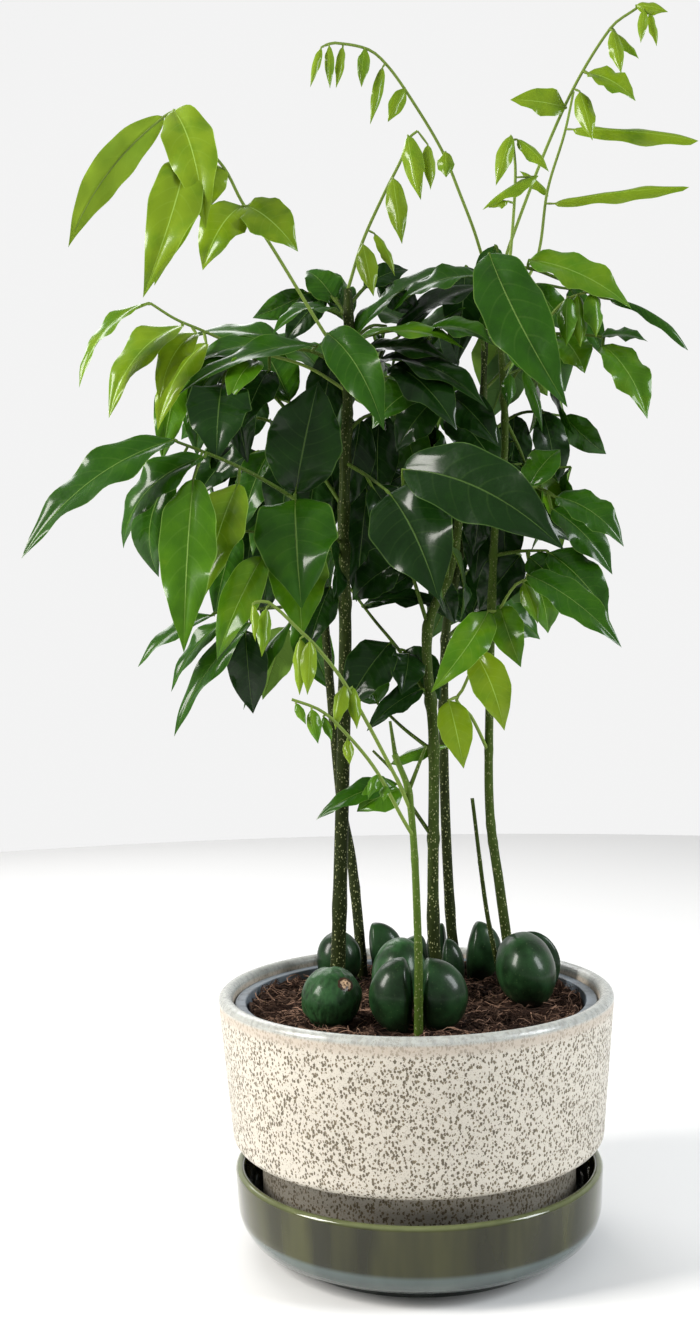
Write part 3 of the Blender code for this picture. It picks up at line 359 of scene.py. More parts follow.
            Leaf((63, 381, 14), (79, 399, 20), 20, 30, MID),
            Leaf((74, 369, 26), (104, 335, 22), 22, 28, MID),
            Leaf((58, 382, 40), (86, 363, 52), 24, 40, LIT),
        ]),
        Frond([(45, 346, 33), (58, 348, 28), (71, 348, 24)], [
            Leaf((72, 347, 22), (102, 312, 16), 26, 24, MID),
            Leaf((62, 345, 26), (80, 323, 24), 22, 20, MID),
            Leaf((58, 346, 40), (36, 318, 50), 24, 10, DARK),
            Leaf((63, 338, 36), (71, 306, 40), 22, 20, LIT),
        ]),
        Frond([(50, 415, 35), (59, 398, 58), (64, 382, 80)], [
            Leaf((64, 382, 73), (79, 349, 77), 26, 160, MID),
            Leaf((61, 391, 66), (47, 360, 80), 26, 10, MID),
            Leaf((56, 404, 50), (35, 390, 62), 24, 30, DARK),
        ]),
        Frond([(50, 425, 36), (54, 439, 64), (57, 446, 92), (58, 450, 116)], [
            Leaf((58, 450, 116), (73, 426, 142), 28, 160, MID),
            Leaf((58, 448, 104), (44, 415, 126), 28, 170, DARK),
            Leaf((55, 442, 78), (70, 460, 98), 24, 130, DARK),
        ]),
    ]),
}

SHOOTS = {
    "shoot_upper_left": Shoot("seedling_left", [
        Frond([(-27, 444, 36), (-38, 459, 18), (-66, 507, 6), (-80, 529, 0), (-89, 547, -4),
               (-102, 562, -8), (-113, 577, -4)], [
            Leaf((-119, 574, -4), (-170, 509, -20), 19, 150, LIME, bow=0.05, bend=0.06),
            Leaf((-114, 577, -8), (-99, 516, -26), 26, 0, LIME, bow=0.14, bend=0.06),
            Leaf((-108, 553, -12), (-132, 482, -34), 26, 0, LIME, bow=0.16, bend=0.06),
            Leaf((-98, 551, 2), (-126, 488, -10), 20, 0, LIME, bow=0.1),
            Leaf((-94, 549, 0), (-100, 524, -8), 16, 20, LIME, bow=0.2),
            Leaf((-80, 527, -2), (-101, 495, -12), 24, 10, LIME, bow=0.2),
            Leaf((-78, 527, -4), (-52, 503, -12), 24, 15, LIME, bow=0.16),
        ]),
    ]),
    "shoot_left": Shoot("seedling_left", [
        Frond([(-28, 431, 36), (-50, 445, 52), (-81, 455, 44), (-103, 465, 22), (-116, 471, 2),
               (-128, 479, -12)], [
            Leaf((-130, 479, -14), (-166, 437, -30), 16, 50, BRIGHT_LIT, bow=0.14),
            Leaf((-112, 467, 8), (-151, 421, -16), 25, 34, BRIGHT_LIT, bow=0.16),
            Leaf((-105, 463, 14), (-125, 428, -4), 18, 20, LIME, bow=0.18),
            Leaf((-100, 458, 22), (-126, 414, 8), 20, 22, LIME, bow=0.15),
        ]),
    ]),
    "shoot_low_left": Shoot("seedling_front", [
        Frond([(0, 217, -55), (-8, 235, -60), (-33, 283, -70), (-48, 303, -74), (-55, 310, -76),
               (-71, 325, -80), (-78, 325, -82)], [
            Leaf((-79, 324, -84), (-78, 305, -88), 6, -40, LIME, bow=0.05),
            Leaf((-72, 322, -79), (-75, 297, -84), 8, 20, LIME, bow=0.05),
            Leaf((-55, 306, -73), (-56, 277, -76), 9, -20, LIME, bow=0.05),
            Leaf((-50, 305, -78), (-52, 277, -80), 9, 10, LIME, bow=0.05),
            Leaf((-33, 282, -70), (-38, 259, -74), 9, -25, LIME, bow=0.1),
            Leaf((-29, 281, -67), (-27, 259, -72), 8, 20, LIME, bow=0.1),
        ]),
    ]),
    "shoot_low_centre": Shoot("seedling_front", [
        Frond([(1, 204, -56), (-4, 212, -62), (-19, 240, -70), (-38, 263, -76), (-47, 270, -78),
               (-60, 275, -80)], [
            Leaf((-58, 273, -80), (-53, 262, -84), 5, 10, LIT, bow=0.1),
            Leaf((-50, 270, -80), (-47, 252, -84), 8, 0, LIT, bow=0.1),
            Leaf((-44, 266, -76), (-40, 253, -80), 5, 20, LIT, bow=0.1),
            Leaf((-32, 254, -74), (-31, 241, -78), 6, 0, LIME, bow=0.1),
            Leaf((-17, 236, -70), (-22, 223, -74), 6, 10, LIT, bow=0.2),
            Leaf((-13, 230, -68), (-14, 222, -74), 6, -10, LIT, bow=0.2),
        ]),
    ]),
    "shoot_top_centre": Shoot("seedling_left", [
        Frond([(-27, 485, 38), (-19, 507, 34), (-7, 532, 30), (2, 549, 26), (5, 558, 24),
               (10, 562, 23)], [
            Leaf((-19, 506, 30), (-14, 479, 22), 13, 0, LIME, bow=0.1),
            Leaf((-13, 511, 35), (-3, 489, 34), 8, 30, LIME),
            Leaf((-3, 539, 26), (1, 505, 18), 13, 0, LIME, bow=0.08),
            Leaf((5, 560, 20), (11, 527, 13), 13, -15, LIME, bow=0.08),
            Leaf((15, 555, 26), (16, 532, 22), 9, 20, LIME, bow=0.08),
        ]),
    ]),
    "shoot_top_arch": Shoot("seedling_back", [
        Frond([(42, 462, 86), (44, 483, 78), (39, 506, 66), (31, 529, 56), (22, 552, 48), (6, 580, 38),
               (-5, 596, 32), (-14, 604, 28), (-31, 608, 20), (-36, 607, 18)], [
            Leaf((-38, 606, 16), (-44, 586, 12), 5, 0, LIME, bow=0.08),
            Leaf((-34, 607, 18), (-34, 585, 14), 6, 0, LIME, bow=0.06),
            Leaf((-27, 606, 22), (-31, 585, 18), 6, 25, LIME, bow=0.08),
            Leaf((-16, 605, 26), (-18, 585, 22), 8, -10, LIME, bow=0.06),
            Leaf((-7, 595, 30), (-14, 566, 26), 7, 10, LIME, bow=0.08),
            Leaf((4, 584, 36), (-5, 567, 32), 10, -15, LIME, bow=0.06),
            Leaf((24, 551, 46), (24, 538, 42), 11, 0, LIME, bow=0.06),
        ]),
    ]),
    "shoot_top_right": Shoot("seedling_right", [
        Frond([(51, 487, 38), (55, 502, 36), (84, 571, 24), (108, 610, 16), (122, 620, 12)], [
            Leaf((121, 621, 10), (137, 617, 6), 8, 0, LIME, bow=0.1),
            Leaf((125, 619, 8), (123, 602, 4), 6, -10, LIME, bow=0.06),
            Leaf((128, 617, 12), (131, 600, 10), 6, 20, LIME, bow=0.06),
            Leaf((109, 609, 14), (113, 587, 8), 9, 0, LIME, bow=0.06),
            Leaf((111, 607, 20), (122, 594, 18), 8, 30, LIME, bow=0.06),
            Leaf((96, 588, 20), (120, 573, 14), 18, 30, LIME, bow=0.1),
            Leaf((85, 571, 22), (57, 576, 16), 16, 10, LIME, bow=0.06),
            Leaf((92, 579, 21), (98, 554, 14), 12, 0, LIME, bow=0.08),
        ]),
    ]),
    "shoot_tall_right": Shoot("seedling_right", [
        Frond([(51, 467, 37), (63, 484, 52), (70, 499, 56), (75, 530, 52), (84, 558, 46),
               (89, 579, 42)], [
            Leaf((88, 560, 42), (151, 552, 22), 11.5, 22, LIME, bow=0.03),
            Leaf((78, 523, 50), (146, 529, 30), 10, 27, LIME, bow=0.03),
            Leaf((75, 527, 56), (61, 540, 64), 9, 40, LIME, bow=0.1),
        ]),
    ]),
    "shoot_small_right": Shoot("seedling_right", [
        Frond([(50, 460, 37), (53, 480, 12), (56, 501, 8), (59, 539, 4), (58, 556, 2)], [
            Leaf((57, 558, 0), (49, 533, -4), 10, 0, LIME, bow=0.1),
            Leaf((60, 556, 2), (76, 539, -2), 9, 15, LIME, bow=0.1),
            Leaf((70, 537, 2), (42, 521, -2), 10, 35, LIME, bow=0.08),
            Leaf((55, 525, 1), (45, 522, -2), 6, 30, LIME, bow=0.1),
        ]),
    ]),
    "shoot_hanging_right": Shoot("seedling_right", [
        Frond([(51, 439, 36), (70, 460, 18), (83, 474, 8), (98, 479, 4)], [
            Leaf((84, 476, 2), (83, 451, -2), 12, -15, LIT, bow=0.06),
            Leaf((89, 477, 4), (90, 450, 0), 12, 10, LIT, bow=0.06),
            Leaf((97, 478, 2), (98, 455, -2), 13, 20, LIT, bow=0.06),
        ]),
    ]),
    "shoot_middle_right": Shoot("seedling_right", [
        Frond([(39, 246, 30), (31, 265, 20), (24, 273, 14), (27, 278, 10), (35, 295, 2), (46, 317, -6),
               (55, 331, -12), (62, 334, -14)], [
            Leaf((20, 273, 8), (27, 238, -4), 18, 5, LIME, bow=0.1),
            Leaf((34, 297, -4), (48, 257, -16), 20, 0, LIME, bend=0.04),
            Leaf((41, 318, -12), (11, 277, -32), 19, 10, LIT, bow=0.14, bend=0.05),
            Leaf((47, 320, -6), (57, 289, -18), 18, -10, LIT),
            Leaf((59, 332, -14), (66, 311, -22), 10, 10, LIT, bow=0.1),
            Leaf((61, 336, -15), (108, 298, -30), 20, 25, MID),
        ]),
    ]),
}

# Leaves inside the crown and behind it, which the solids leave out
INNER_FRONDS = {
    "seedling_left": [
        Frond([(-29, 410, 36), (-20, 418, 50), (-8, 420, 62), (3, 414, 70)], [
            Leaf((-22, 417, 50), (-33, 368, 58), 24, 10, DARK),
            Leaf((-12, 421, 60), (-13, 370, 66), 25, -10, DARK),
            Leaf((-2, 419, 66), (8, 376, 74), 23, 12, MID),
            Leaf((3, 414, 70), (22, 392, 80), 18, 20, DARK),
        ]),
        Frond([(-31, 372, 36), (-45, 392, 48), (-60, 402, 58), (-74, 402, 64)], [
            Leaf((-45, 393, 48), (-52, 344, 52), 24, 0, DARK),
            Leaf((-58, 402, 57), (-62, 352, 62), 25, -12, DARK),
            Leaf((-68, 403, 62), (-84, 362, 66), 22, 14, MID),
            Leaf((-75, 402, 65), (-100, 384, 70), 18, 30, DARK),
        ]),
        Frond([(-27, 442, 36), (-32, 452, 52), (-35, 454, 62)], [
            Leaf((-34, 453, 60), (-45, 402, 64), 23, 0, DARK),
        ]),
        Frond([(-27, 468, 37), (-36, 480, 50), (-46, 482, 60)], [
            Leaf((-38, 481, 54), (-60, 456, 60), 17, 10, DARK),
            Leaf((-47, 482, 61), (-76, 470, 66), 15, -20, MID),
        ]),
        Frond([(-27, 474, 38), (-18, 484, 46), (-12, 486, 52)], [
            Leaf((-19, 484, 46), (4, 492, 56), 15, 20, DARK),
            Leaf((-12, 485, 53), (10, 470, 62), 17, 0, DARK),
        ]),
        Frond([(-28, 420, 36), (-32, 442, 60), (-34, 446, 84), (-34, 438, 106)], [
            Leaf((-32, 440, 56), (-36, 396, 62), 26, 80, MID),
            Leaf((-33, 446, 74), (-28, 402, 82), 26, -80, DARK),
            Leaf((-34, 445, 90), (-40, 400, 98), 25, 75, MID),
            Leaf((-34, 437, 107), (-34, 398, 124), 22, 85, MID),
        ]),
        Frond([(-32, 345, 35), (-44, 362, 16), (-52, 366, -2)], [
            Leaf((-42, 361, 18), (-40, 318, 14), 24, 80, DARK),
            Leaf((-51, 366, 1), (-52, 324, -6), 24, -85, MID),
        ]),
        Frond([(-27, 455, 37), (-16, 464, 50), (-8, 464, 62)], [
            Leaf((-16, 464, 50), (-18, 424, 54), 24, 85, MID),
            Leaf((-8, 464, 62), (-4, 424, 70), 24, -80, MID),
        ]),
    ],
    "seedling_back_left": [
        Frond([(-44, 392, 90), (-30, 402, 104), (-14, 402, 116)], [
            Leaf((-34, 402, 102), (-38, 360, 108), 24, 0, DARK),
            Leaf((-20, 404, 112), (-14, 362, 116), 24, 10, DARK),
            Leaf((-14, 402, 117), (8, 384, 124), 20, 25, DARK),
        ]),
        Frond([(-45, 356, 92), (-64, 372, 100), (-84, 374, 104)], [
            Leaf((-60, 371, 98), (-62, 326, 102), 24, 0, DARK),
            Leaf((-76, 375, 102), (-84, 334, 106), 22, 12, DARK),
            Leaf((-85, 374, 104), (-106, 352, 108), 18, 25, MID),
        ]),
        Frond([(-44, 372, 91), (-32, 384, 80), (-20, 384, 66)], [
            Leaf((-19, 383, 64), (-26, 324, 60), 25, 0, DARK),
            Leaf((-28, 385, 76), (-8, 350, 76), 18, 0, DARK),
        ]),
        Frond([(-44, 402, 90), (-70, 434, 70), (-96, 446, 50), (-112, 446, 42)], [
            Leaf((-113, 445, 41), (-124, 398, 36), 19, 0, LIT),
            Leaf((-101, 446, 48), (-106, 400, 50), 21, 0, MID),
            Leaf((-88, 444, 54), (-80, 396, 58), 23, 0, DARK),
        ]),
        Frond([(-45, 340, 92), (-64, 358, 66), (-86, 362, 40)], [
            Leaf((-87, 361, 38), (-99, 318, 30), 18, 0, MID),
            Leaf((-68, 359, 60), (-74, 316, 60), 20, 0, DARK),
        ]),
        Frond([(-44, 400, 90), (-70, 418, 84), (-92, 418, 78)], [
            Leaf((-68, 418, 84), (-70, 372, 88), 25, 80, MID),
            Leaf((-91, 418, 78), (-96, 374, 80), 24, -75, MID),
        ]),
        Frond([(-45, 345, 92), (-40, 362, 112), (-38, 362, 134)], [
            Leaf((-41, 361, 110), (-40, 318, 116), 25, 85, MID),
            Leaf((-38, 362, 132), (-34, 320, 142), 24, -80, MID),
        ]),
    ],
    "seedling_centre": [
        Frond([(24, 350, 29), (10, 372, 46), (-4, 378, 58)], [
            Leaf((12, 371, 45), (2, 332, 52), 22, 0, DARK),
            Leaf((2, 378, 54), (-8, 338, 60), 22, -10, DARK),
            Leaf((-5, 378, 59), (-28, 362, 66), 18, 30, DARK),
        ]),
        Frond([(27, 372, 31), (42, 390, 50), (58, 392, 62)], [
            Leaf((40, 389, 49), (34, 346, 56), 22, 0, DARK),
            Leaf((52, 393, 58), (58, 352, 64), 22, 10, DARK),
            Leaf((59, 392, 63), (80, 376, 70), 18, -25, MID),
        ]),
        Frond([(26, 400, 32), (24, 420, 54), (22, 424, 78)], [
            Leaf((24, 419, 53), (28, 374, 58), 25, 80, DARK),
            Leaf((22, 424, 74), (20, 380, 84), 25, -85, MID),
        ]),
        Frond([(18, 335, 27), (22, 352, 6), (24, 354, -12)], [
            Leaf((22, 352, 7), (26, 312, 2), 22, 85, DARK),
            Leaf((24, 354, -11), (20, 316, -16), 22, -80, DARK),
        ]),
    ],
    "seedling_back": [
        Frond([(32, 366, 72), (16, 384, 88), (0, 388, 100)], [
            Leaf((18, 384, 87), (14, 342, 92), 22, 0, DARK),
            Leaf((6, 389, 96), (-2, 350, 102), 22, 8, DARK),
            Leaf((-1, 388, 101), (-22, 370, 108), 18, 28, DARK),
        ]),
        Frond([(39, 405, 76), (60, 418, 92), (80, 416, 104)], [
            Leaf((56, 417, 90), (52, 374, 96), 23, 0, DARK),
            Leaf((70, 419, 99), (76, 378, 106), 22, 12, DARK),
            Leaf((81, 416, 105), (102, 396, 112), 18, -25, MID),
        ]),
        Frond([(30, 348, 71), (40, 372, 66), (52, 376, 64)], [
            Leaf((40, 373, 66), (34, 332, 62), 21, 0, DARK),
            Leaf((49, 376, 65), (50, 332, 66), 22, 0, DARK),
            Leaf((53, 376, 64), (84, 352, 68), 18, 10, DARK),
        ]),
        Frond([(41, 448, 83), (38, 474, 76), (34, 492, 70)], [
            Leaf((33, 493, 69), (28, 444, 66), 23, 0, DARK),
            Leaf((37, 482, 74), (54, 452, 74), 18, 0, MID),
        ]),
        Frond([(24, 318, 69), (14, 336, 60), (4, 338, 54)], [
            Leaf((14, 337, 60), (24, 312, 64), 16, 0, DARK),
            Leaf((3, 338, 53), (-22, 320, 48), 18, 10, DARK),
        ]),
        Frond([(36, 385, 74), (34, 404, 98), (32, 408, 122), (32, 400, 142)], [
            Leaf((34, 403, 97), (40, 360, 102), 25, 80, MID),
            Leaf((32, 408, 118), (28, 364, 124), 25, -80, MID),
            Leaf((32, 400, 143), (34, 360, 152), 23, 85, MID),
        ]),
        Frond([(40, 430, 79), (62, 448, 84), (82, 448, 86)], [
            Leaf((61, 448, 84), (62, 404, 88), 25, 80, MID),
            Leaf((82, 448, 86), (86, 406, 90), 24, -80, MID),
        ]),
    ],
    "seedling_right": [
        Frond([(51, 474, 38), (50, 490, 44), (49, 502, 46)], [
            Leaf((50, 492, 45), (60, 466, 52), 15, 0, MID),
            Leaf((48, 503, 47), (40, 468, 54), 17, 0, MID),
        ]),
        Frond([(51, 466, 38), (66, 482, 52), (84, 480, 60)], [
            Leaf((67, 482, 53), (84, 458, 62), 17, 0, MID),
            Leaf((85, 480, 61), (102, 444, 64), 16, 0, MID),
        ]),
        Frond([(48, 370, 34), (66, 388, 40), (84, 390, 44)], [
            Leaf((65, 388, 40), (62, 346, 44), 24, 80, MID),
            Leaf((84, 390, 44), (88, 350, 46), 24, -80, MID),
        ]),
        Frond([(51, 460, 37), (54, 476, 14), (56, 478, -6)], [
            Leaf((54, 476, 13), (52, 436, 8), 23, 85, MID),
            Leaf((56, 478, -6), (60, 440, -14), 23, -80, MID),
        ]),
    ],
}

# Each seed split into two halves, with the flat side of each towards the stem between them
BEANS = {
    "bean_front_left": Bean((-41, -38, 130), (15, 11, 15.5), 90, 24),
    "bean_front_pair_left": Bean((-11.6, -44, 133), (10.7, 13.5, 18.4), 0, 0),
    "bean_front_pair_right": Bean((13.4, -44, 132.8), (11.8, 13.5, 18.2), 180, 0),
    "bean_centre_left": Bean((-8, -8, 133.6), (14, 12, 19.1), 90, 6),
    "bean_centre_right": Bean((20.5, 27.5, 130.3), (6, 8, 15.8), 180, 0),
    "bean_back_centre": Bean((-2, 38, 130.2), (9.7, 9, 15.7), 0, 0),
    "bean_back_left": Bean((-41.5, 50.5, 129.8), (12.4, 8, 15.4), 90, 0),
    "bean_back_left_inner": Bean((-15, 62, 131.8), (9.5, 9, 17.3), 180, -8),
    "bean_back_right": Bean((38.5, 59, 131.5), (9.6, 9, 17), 180, 8),
    "bean_back_inner": Bean((12.5, 69, 130.4), (6, 8, 15.9), 0, 0),
    "bean_right_front": Bean((57, -1.5, 134), (15.2, 14, 19.5), 90, -14),
    "bean_right_back": Bean((63, 36, 131.3), (14.2, 9, 17), -90, -10),
}

# The scar of the seed's stalk on the front left half
SCAR_PLACE = (-33 * MM, -42.4 * MM, 138.6 * MM)

# The camera's pitch down, its yaw and its roll in degrees, and its focal length and sensor width
CAMERA_ANGLES = (0.66, -2.38, -1.18)
CAMERA_LENS = 37.85
CAMERA_SENSOR = 36
CAMERA_NEAR = 0.01

# Place and size of each lamp in metres, and its colour. The back lamp has a share of the key's power.
LAMPS = {
    "key": ((-1.35, -0.5, 1.0), (0.5, 0.9), (1, 0.97, 0.92)),
    "fill": ((1.3, -0.4, 0.85), (0.45, 0.8), (0.93, 0.97, 1)),
    "back": ((-0.6, 1.2, 1.2), (1.0, 0.8), (1, 1, 1)),
}
LAMP_TARGET = (0, 0, 0.3)
BACK_SHARE = 0.25
FLOOR_RADIUS = 1.6

# How fresh and green each stem's bark is
BARK_TONES = {
    "seedling_left": 0.12,
    "seedling_back_left": 0.0,
    "seedling_front": 0.9,
    "seedling_centre": 0.35,
    "seedling_back": 0.1,
    "bare_stub": 0.45,
    "seedling_right": 0.5,
}
RACHIS_TONE = 0.6
YOUNG_RACHIS_TONE = 1.0
STALK_TONE = 0.75
FIBRE_TONES = (0.0, 0.05, 0.12, 0.3, 0.75)


def colour_setting(name, description, default):
    """A colour in linear light."""
    return bpy.props.FloatVectorProperty(name=name, description=description, subtype="COLOR", size=3,
                                         min=0, max=1, default=default)


def length_setting(name, description, default):
    """A length whose default is given in millimetres."""
    return bpy.props.FloatProperty(name=name, description=description, unit="LENGTH", min=0,
                                   default=default * MM)


class PotterySettings(bpy.types.PropertyGroup):
    """Colours of the pot, its saucer and its liner"""

    pot_colour: colour_setting("Pot", "Glaze of the pot's wall", (0.59, 0.55, 0.475))
    rim_colour: colour_setting("Rim", "Glaze on the pot's lip", (0.42, 0.435, 0.41))
    band_colour: colour_setting("Band", "Glaze just below the lip", (0.43, 0.36, 0.29))
    speck_colour: colour_setting("Specks", "Iron specks in the glaze", (0.165, 0.125, 0.065))
    speck_size: length_setting("Speck size", "Distance between the specks", 1.35)
    saucer_colour: colour_setting("Saucer", "Glaze of the saucer", (0.031, 0.032, 0.009))
    # Painted highlight: the pale colour along the saucer's rim
    saucer_rim_highlight: colour_setting("Saucer edge", "Thin glaze on the saucer's rim", (0.135, 0.155, 0.068))
    liner_colour: colour_setting("Liner", "Plastic of the inner pot", (0.125, 0.155, 0.185))


class SoilSettings(bpy.types.PropertyGroup):
    """Colours and loose parts of the soil"""

    soil_colour: colour_setting("Soil", "Damp potting soil", (0.018, 0.009, 0.0065))
    dry_colour: colour_setting("Dry crumbs", "Lightest crumbs and fibres", (0.38, 0.23, 0.16))
    crumb_count: bpy.props.IntProperty(name="Crumbs", description="Crumbs on the soil", min=0, default=2600)
    fibre_count: bpy.props.IntProperty(name="Fibres", description="Loose fibres", min=0, default=2600)
    roughness: length_setting("Unevenness", "Height of the soil's lumps", 2.0)
    bank: length_setting("Bank", "How far the soil climbs the nursery pot's wall", 6.0)


class PlantSettings(bpy.types.PropertyGroup):
    """Colours of leaves, bark and beans, and the make of a leaf"""

    # Leaf colours hold painted light and shade as well as age: the dark colour for leaves in shade, the
    # lighter ones for leaves in light, and the young leaf's colour brightened as painted light shining
    # through it
    dark_leaf: colour_setting("Dark leaf", "Upper side of the oldest leaves", (0.0045, 0.021, 0.002))
    mid_leaf: colour_setting("Grown leaf", "Upper side of grown leaves", (0.016, 0.066, 0.002))
    lit_leaf: colour_setting("Fresh leaf", "Upper side of fresh leaves", (0.050, 0.140, 0.003))
    lime_leaf: colour_setting("Young leaf", "Upper side of young leaves", (0.145, 0.230, 0.008))
    old_bark: colour_setting("Old bark", "Bark at the foot of a stem", (0.020, 0.028, 0.007))
    green_bark: colour_setting("Green bark", "Bark of fresh stems", (0.085, 0.150, 0.020))
    young_bark: colour_setting("Young bark", "Skin of the young shoots", (0.155, 0.225, 0.045))
    bean_colour: colour_setting("Bean", "Skin of the split seeds", (0.009, 0.028, 0.009))
    blade_thickness: length_setting("Blade thickness", "Thickness of a leaf", 0.5)
    ripple: bpy.props.FloatProperty(name="Ripple", description="Fine waves at a leaf's edge", min=0,
                                    default=0.13)


class StageSettings(bpy.types.PropertyGroup):
    """Floor and light"""

    floor_colour: colour_setting("Floor", "Plain pale floor", (0.80, 0.80, 0.80))
    key_power: bpy.props.FloatProperty(name="Key light", description="Soft light from the left",
                                       unit="POWER", min=0, default=40)
    fill_power: bpy.props.FloatProperty(name="Fill light", description="Soft light from the right",
                                        unit="POWER", min=0, default=20)
    front_strength: bpy.props.FloatProperty(name="Front", description="Even light in front of the plant",
                                            min=0, default=0.42)
    backdrop_strength: bpy.props.FloatProperty(name="Backdrop", description="Even light behind the plant",
                                               min=0, default=0.9)


# Colours that no setting gives. Those of veins and undersides go from the oldest leaf to the youngest, and
# the young underside is lightened as painted light shining through the leaf.
# Painted shade: the darker colour of the pot's foot, where shade falls under the skirt
FOOT_PAINTED_SHADE = (0.15, 0.135, 0.105)
# Painted shade and painted highlight for the saucer's foot: dark at the bottom, blue-grey at the top of the
# bevel
SAUCER_FOOT_SHADE, SAUCER_FOOT_HIGHLIGHT = (0.030, 0.038, 0.036), (0.125, 0.165, 0.165)
LINER_DUST = (0.16, 0.12, 0.09)
# Flecks on a bean, and the colour a bean darkens to towards its bottom near the soil
BEAN_FLECKS, BEAN_BOTTOM_DARK = (0.10, 0.16, 0.06), (0.007, 0.009, 0.005)
SCAR_RING, SCAR_MIDDLE = (0.05, 0.022, 0.012), (0.62, 0.42, 0.26)
BARK_DOTS = (0.34, 0.36, 0.17)
VEIN_COLOURS = ((0.10, 0.19, 0.04), (0.38, 0.58, 0.12))
UNDER_COLOURS = ((0.09, 0.17, 0.05), (0.34, 0.50, 0.05))
# Heights in millimetres between which a glaze changes, painted shade sets in under the pot's skirt, the
# saucer's rim takes its painted highlight, the saucer's foot turns from painted highlight to painted shade,
# and a bean grows darker towards its bottom
LIP_GLAZE = (POT_TOP - 4.5, POT_TOP - 2.5)
BAND_GLAZE = (POT_TOP - 10, POT_TOP - 6)
SKIRT_SHADE_HEIGHTS = (POT_SKIRT_FOOT - 1, POT_SKIRT_FOOT + 2)
RIM_HIGHLIGHT_HEIGHTS = (SAUCER_TOP - 2.2, SAUCER_TOP - 0.4)
BEVEL_LIGHT_HEIGHTS = (SAUCER_BEVEL_TOP - 4, SAUCER_BEVEL_TOP - 1)
SHADED_FOOT = (4, 17)
BEAN_DARK_HEIGHTS = (116, 132)


class Value:
    """A number or vector that a material works out, with arithmetic that adds its Math nodes."""

    def __init__(self, finish, socket):
        self.finish = finish
        self.socket = socket

    def math(self, operation, *others):
        return self.finish.add("ShaderNodeMath", {"operation": operation}, dict(enumerate((self, *others))))

    def __add__(self, other):
        return self.math("ADD", other)

    __radd__ = __add__

    def __mul__(self, other):
        return self.math("MULTIPLY", other)

    __rmul__ = __mul__

    def __sub__(self, other):
        return self.math("SUBTRACT", other)

    def __rsub__(self, other):
        return self.finish.add("ShaderNodeMath", {"operation": "SUBTRACT"}, {0: other, 1: self})

    def __pow__(self, power):
        return self.math("POWER", power)

    def clamped(self):
        return self.math("MINIMUM", 1).math("MAXIMUM", 0)

    def rise(self, low, high):
        """From 0 at low to 1 at high, smoothly."""
        settings = {"interpolation_type": "SMOOTHSTEP"}
        inputs = {"Value": self, "From Min": low, "From Max": high}
        return self.finish.add("ShaderNodeMapRange", settings, inputs)

    def between(self, heights):
        """The same between two heights in millimetres."""
        low, high = heights
        return self.rise(low * MM, high * MM)


class NodeMaker:
    """Adds and links the nodes of one node tree, every kind by the same method."""

    def __init__(self, tree):
        self.nodes = tree.nodes
        self.links = tree.links

    def set(self, node, inputs):
        """A node's inputs by name or number, each linked to a Value or set to a number or colour."""
        for key, value in inputs.items():
            socket = node.inputs[key]
            if isinstance(value, Value):
                self.links.new(value.socket, socket)
            elif socket.type == "RGBA":
                socket.default_value = (*value[:3], 1)
            else:
                socket.default_value = value

    def add(self, kind, settings=None, inputs=None, output=0):
        """One output of a new node. The setting called stops fills a colour ramp."""
        node = self.nodes.new(kind)
        for key, value in (settings or {}).items():
            if key == "stops":
                for stop, _ in value[1:-1]:
                    node.color_ramp.elements.new(stop)
                for element, (stop, colour) in zip(node.color_ramp.elements, value):
                    element.position = stop
                    element.color = (*colour, 1)
            else:
                setattr(node, key, value)
        self.set(node, inputs or {})
        return Value(self, node.outputs[output])

    def place(self):
        """The place on the piece, in metres."""
        return self.add("ShaderNodeTexCoord", output="Object")

    def split(self, vector):
        """The three parts of a vector or colour."""
        made = self.add("ShaderNodeSeparateXYZ", inputs={0: vector})
        return [Value(self, made.socket.node.outputs[axis]) for axis in range(3)]

    def stretched(self, vector, scale):
        return self.add("ShaderNodeVectorMath", {"operation": "MULTIPLY"}, {0: vector, 1: scale})

    def noise(self, vector, size, detail=3, output="Fac"):
        """Soft patches of a size in millimetres."""
        inputs = {"Vector": vector, "Scale": 1 / (size * MM), "Detail": detail}
        return self.add("ShaderNodeTexNoise", None, inputs, output)

    def cells(self, vector, size, output="Distance"):
        """Distance from the middle of cells of a size in millimetres, or their random colour."""
        inputs = {"Vector": vector, "Scale": 1 / (size * MM)}
        return self.add("ShaderNodeTexVoronoi", None, inputs, output)

    def warped(self, vector, size, amount):
        """The vector pushed about by noise of one size, by up to half an amount."""
        push = self.noise(vector, size, 2, "Color")
        centred = self.add("ShaderNodeVectorMath", {"operation": "SUBTRACT"}, {0: push, 1: (0.5, 0.5, 0.5)})
        scaled = self.stretched(centred, (amount * MM,) * 3)
        return self.add("ShaderNodeVectorMath", {"operation": "ADD"}, {0: vector, 1: scaled})

    def mix(self, factor, first, second):
        return self.add("ShaderNodeMix", {"data_type": "RGBA"}, {0: factor, 6: first, 7: second}, 2)

    def attribute(self, name):
        return self.add("ShaderNodeAttribute", {"attribute_name": name}, output="Fac")


